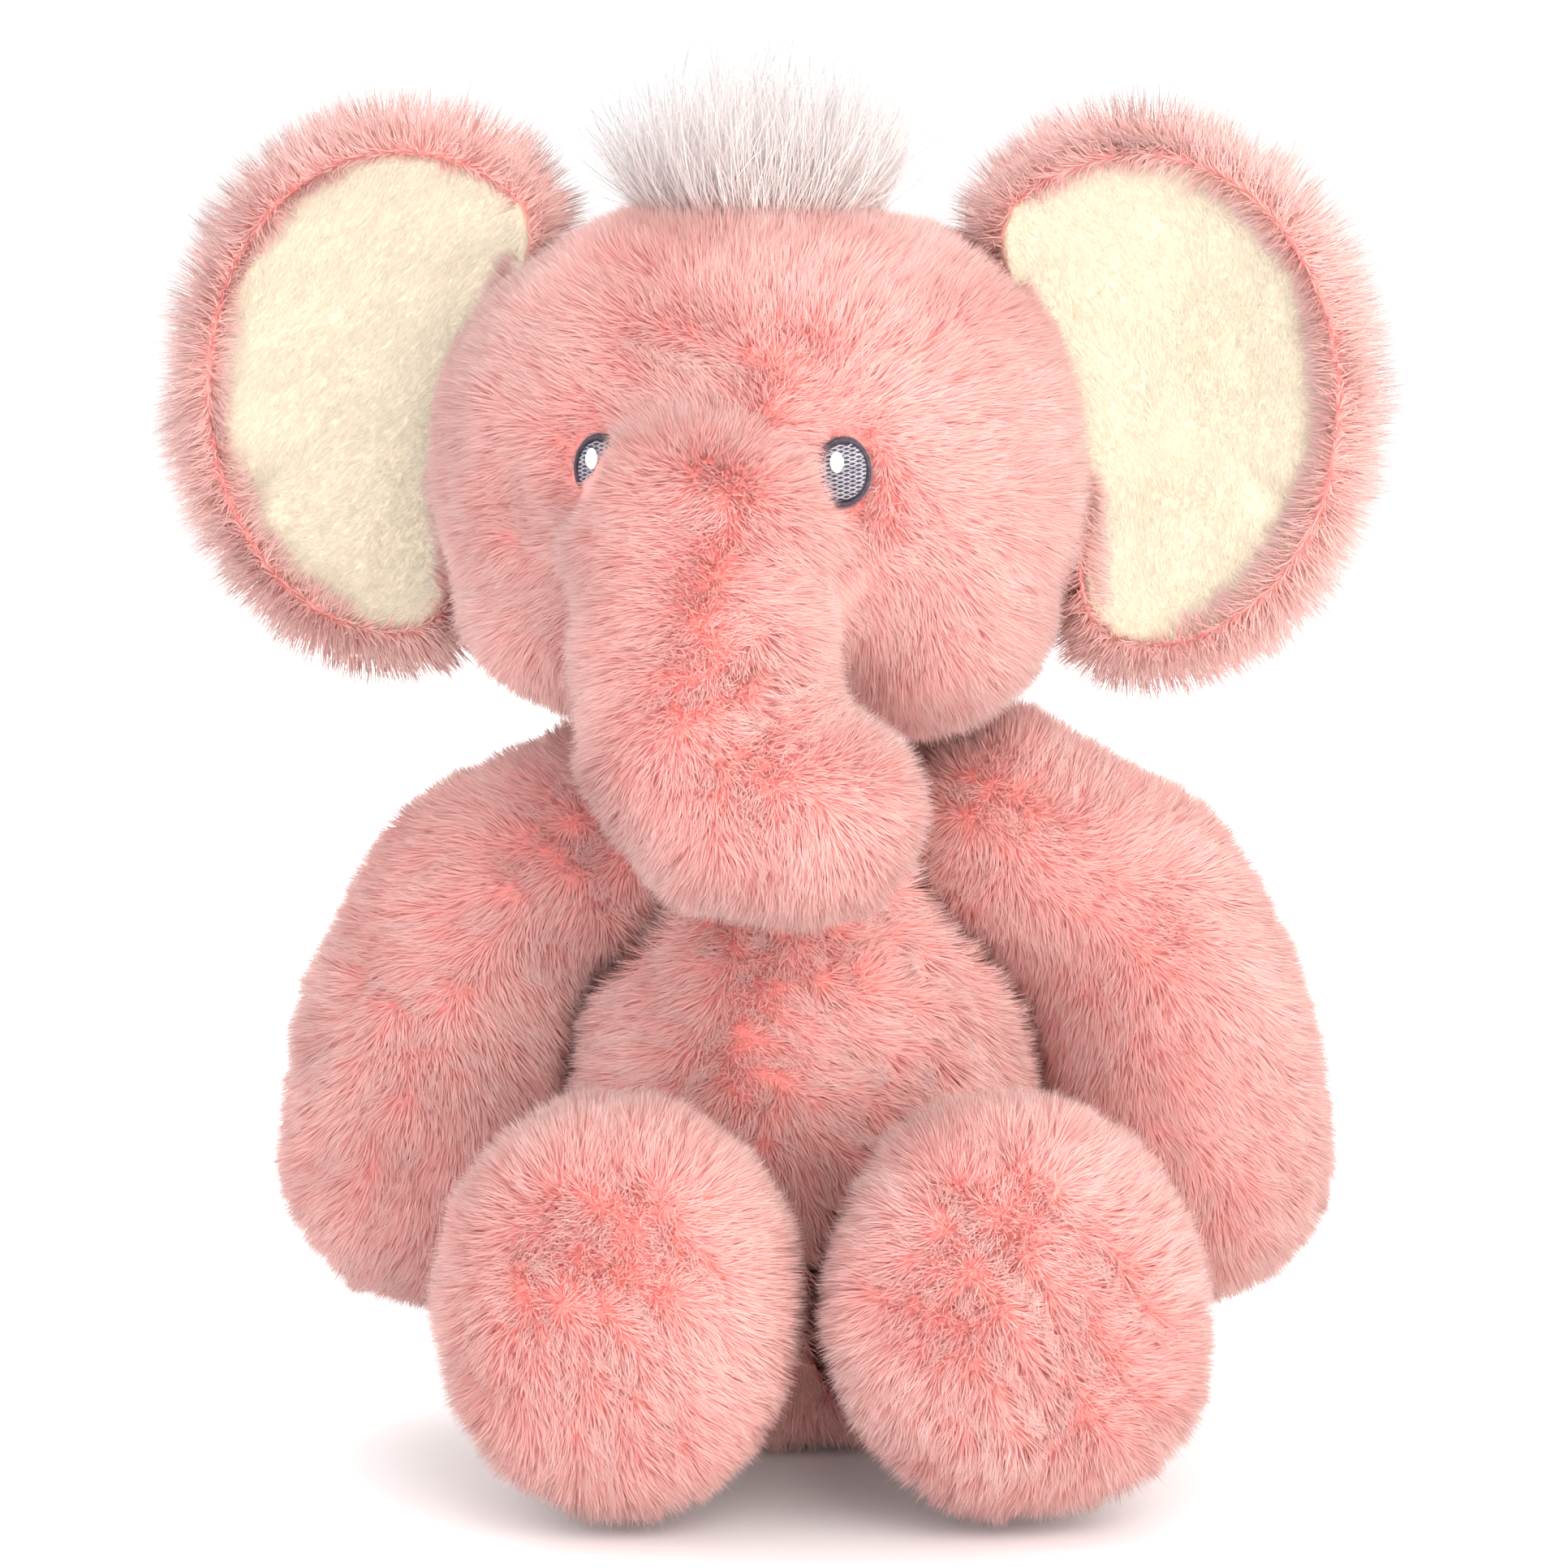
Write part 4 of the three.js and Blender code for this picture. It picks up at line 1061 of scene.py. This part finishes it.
def threads_object(name, threads):
    places, faces = [], []
    for points, polygons in threads:
        base = len(places)
        places += [tuple(p) for p in points]
        faces += [tuple(base + i for i in polygon) for polygon in polygons]
    mesh = bpy.data.meshes.new(name)
    mesh.from_pydata(places, [], faces)
    mesh.update()
    bm = bmesh.new()
    bm.from_mesh(mesh)
    bmesh.ops.recalc_face_normals(bm, faces=bm.faces)
    bm.to_mesh(mesh)
    bm.free()
    return smooth_shaded(new_object(name, mesh))


def make_eye(side, seed):
    middle, across, up, facing = eyes[side]
    (west, east), (low, high), (back, front) = bounds_in(f"eye_{side}_outline", middle, across, up, facing)
    half_wide, half_tall = (east - west) / 2, (high - low) / 2
    random = np.random.default_rng(seed)
    base = front - 0.3 * MM

    def on_eye(x, y, lift=0.0):
        """A point of the eye's gently domed face, x and y as shares of its half sizes."""
        dome = 0.9 * MM * (1 - min(1.0, x * x + y * y))
        return middle + across * x * half_wide + up * y * half_tall + facing * (base + dome + lift)

    rows = []
    step = 0.46 * MM
    inner = 1 - 1.3 * MM / half_wide
    count = int(2 * half_tall * inner / step)
    slant = 0.066
    stops = 61
    for row in range(count + 1):
        y = (row / count * 2 - 1) * inner
        reach = math.sqrt(max(0.0, inner**2 - y**2))
        if reach < 0.08:
            continue
        xs = np.linspace(-reach, reach, stops)
        wave = 0.026 * np.sin(xs * half_wide / (0.42 * MM) + row * math.pi) + random.uniform(-0.006, 0.006)
        path = [
            on_eye(x, y + slant * x + dy, random.uniform(0, 0.05) * MM) for x, dy in zip(xs, wave)
        ]
        normals = np.tile(facing, (stops, 1))
        rows.append(thread(path, np.full(stops, step * 0.82), normals, 0.34 * MM))
    fill = threads_object(f"eye_{side}_fill_stitches", rows)
    finish_with(fill, GREY_THREAD)

    ring = []
    for x in np.linspace(-0.86, 0.86, 22):
        reach = 0.88 * math.sqrt(1 - x * x)
        path = [on_eye(x, y, -0.22 * MM) for y in np.linspace(-reach, reach, 9)]
        ring.append(thread(path, np.full(9, 0.62 * MM), np.tile(facing, (9, 1)), 0.3 * MM))
    for turn in np.linspace(0, 2 * math.pi, 130, endpoint=False):
        path = []
        for share in np.linspace(0.0, 1.0, 6):
            radius = 0.84 + 0.15 * share + random.uniform(-0.012, 0.012)
            swirl = turn + 0.10 * share
            lift = 0.55 * MM * math.sin(math.pi * share) - 0.3 * MM * share
            path.append(on_eye(radius * math.cos(swirl), radius * math.sin(swirl), lift))
        ring.append(thread(path, np.full(6, 0.36 * MM), np.tile(facing, (6, 1)), 0.34 * MM))
    outline = threads_object(f"eye_{side}_outline_stitches", ring)
    finish_with(outline, DARK_THREAD)

    spot = np.array(middle_of(f"eye_{side}_highlight")) - middle
    spans = bounds_in(f"eye_{side}_highlight", middle, across, up, facing)
    x0, y0 = spot @ across / half_wide, spot @ up / half_tall
    wide = (spans[0][1] - spans[0][0]) / 2 / half_wide
    tall = (spans[1][1] - spans[1][0]) / 2 / half_tall
    shine = []
    for x in np.linspace(-0.92, 0.92, 10):
        reach = math.sqrt(1 - x * x)
        path = [on_eye(x0 + x * wide, y0 + y * tall * reach, 0.45 * MM) for y in np.linspace(-1, 1, 9)]
        shine.append(thread(path, np.full(9, 0.42 * MM), np.tile(facing, (9, 1)), 0.4 * MM))
    highlight = threads_object(f"eye_{side}_highlight_stitches", shine)
    finish_with(highlight, WHITE_THREAD)

    for piece, node in ((fill, "fill"), (outline, "outline"), (highlight, "highlight")):
        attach(piece, "head")
        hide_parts(f"eye_{side}_{node}")


for side, seed in (("left", 500), ("right", 520)):
    make_eye(side, seed)


# ---- tuft and tail

def hair_bundle(name, roots, normals, tips, seed):
    random = np.random.default_rng(seed)
    widths = 0.17 * MM * random.uniform(0.7, 1.2, len(roots)) * 1.0
    tones = random.uniform(0.05, 0.9, len(roots))
    sideways = random.normal(size=(len(roots), 3)) * [1, 1, 0.3]
    spread_out = unit(tips - roots.mean(axis=0))
    normals = unit(normals * 0.3 + spread_out + unit(sideways) * 0.25)
    mesh = strand_mesh(name, roots, normals, tips, widths, tones, random, stiffness=0.6, segments=5)
    return finish_with(new_object(name, mesh), TUFT_HAIR)


tuft_low, tuft_high = (np.array(v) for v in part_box("head_tuft"))
tuft_middle = (tuft_low + tuft_high) / 2
tuft_half = (tuft_high - tuft_low) / 2
random = np.random.default_rng(600)
count = 8000
turn = random.uniform(0, 2 * math.pi, count)
spread = np.sqrt(random.random(count))
flat = np.stack([np.cos(turn) * tuft_half[0] * 0.8, np.sin(turn) * tuft_half[1] * 0.75], axis=1)
flat *= spread[:, None]
skin_tree = tree_of(full_skin)
roots = []
for x, y in flat:
    hit = skin_tree.ray_cast(Vector((tuft_middle[0] + x, tuft_middle[1] + y, 0.4)), Vector((0, 0, -1)))
    roots.append(hit[0][:])
roots = np.array(roots)
fan = np.stack([flat[:, 0] / tuft_half[0] * 0.62, flat[:, 1] / tuft_half[1] * 0.6, np.ones(count)], axis=1)
fan += ripple_vectors(roots, 8 * MM, 610) * 0.30 + random.normal(size=(count, 3)) * 0.20
tuft_lengths = (46 - 13 * spread**2) * MM * random.uniform(0.35, 1.05, count)
tuft_tips = roots + unit(fan) * tuft_lengths[:, None]
tuft = hair_bundle("head_tuft_hair", roots, unit(fan * [0.4, 0.4, 1]), tuft_tips, 620)
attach(tuft, "head")
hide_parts("head_tuft")

tail = skin_of("tail_cover", [], ["tail_strip"], fatten=3.5 * MM, rounds=2)
finish_with(tail, PINK_BACKING)
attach(tail, "tail")
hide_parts("tail_strip")
carry(pile("tail_pile", tail, 640, steady([0, 0.1, -0.9]), length=5 * MM), "tail")

end_low, end_high = (np.array(v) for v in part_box("tail_tuft"))
end_middle = (end_low + end_high) / 2
count = 2200
heading = unit(random.normal(size=(count, 3)))
heading[:, 2] = -np.abs(heading[:, 2]) * 0.9 + 0.25
end_roots = end_middle + np.array([0, -2 * MM, 5 * MM]) + heading * 2.0 * MM
end_tips = end_middle + unit(heading) * (end_high - end_low) / 2 * random.uniform(0.85, 1.1, (count, 1))
brush = hair_bundle("tail_tuft_hair", end_roots, unit(heading + [0, 0, -0.3]), end_tips, 650)
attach(brush, "tail")
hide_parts("tail_tuft")


# ---- floor, light and camera

def set_stage():
    mesh = bpy.data.meshes.new("floor")
    size = 8.0
    corners = [(-size, -size, 0), (size, -size, 0), (size, size, 0), (-size, size, 0)]
    mesh.from_pydata(corners, [], [(0, 1, 2, 3)])
    floor = new_object("floor", mesh)
    material, shader = new_material("white paper floor", roughness=0.9, sheen=0.0, specular=0.1)
    shader.inputs["Base Color"].default_value = (0.96, 0.96, 0.96, 1)
    floor.data.materials.append(material)

    world = bpy.data.worlds.new("studio")
    bpy.context.scene.world = world
    world.use_nodes = True
    world.node_tree.nodes["Background"].inputs["Color"].default_value = (1.0, 1.0, 1.0, 1)
    world.node_tree.nodes["Background"].inputs["Strength"].default_value = 1.14
    for name, place, size, power, colour in (
        ("key", (0.55, -1.25, 0.60), 1.2, 19.0, (1.0, 0.95, 0.91)),
        ("fill", (-0.6, -1.25, 0.22), 1.2, 7.5, (0.88, 0.90, 1.0)),
        ("top", (0.2, 0.35, 1.2), 0.9, 2.0, (1.0, 1.0, 1.0)),
        ("back", (-0.4, 1.3, 1.0), 1.2, 15.0, (1.0, 0.97, 0.95)),
    ):
        data = bpy.data.lights.new(name, "AREA")
        data.size = size
        data.energy = power
        data.color = colour
        lamp = bpy.data.objects.new(name, data)
        lamp.location = place
        lamp.rotation_euler = (Vector((0, 0, 0.15)) - Vector(place)).to_track_quat("-Z", "Y").to_euler()
        bpy.context.scene.collection.objects.link(lamp)


set_stage()

scene = bpy.context.scene
scene.view_settings.view_transform = "Standard"
camera_data = bpy.data.cameras.new("camera")
camera = bpy.data.objects.new("camera", camera_data)
scene.collection.objects.link(camera)
scene.camera = camera
camera_data.lens = 140
camera_data.sensor_width = 36
camera_data.dof.use_dof = False
target = Vector((-4.5 * MM, 0, 150 * MM))
elevation = math.radians(8)
camera.location = target + Vector((0, -math.cos(elevation), math.sin(elevation))) * 1.4
camera.rotation_euler = (target - camera.location).to_track_quat("-Z", "Y").to_euler()
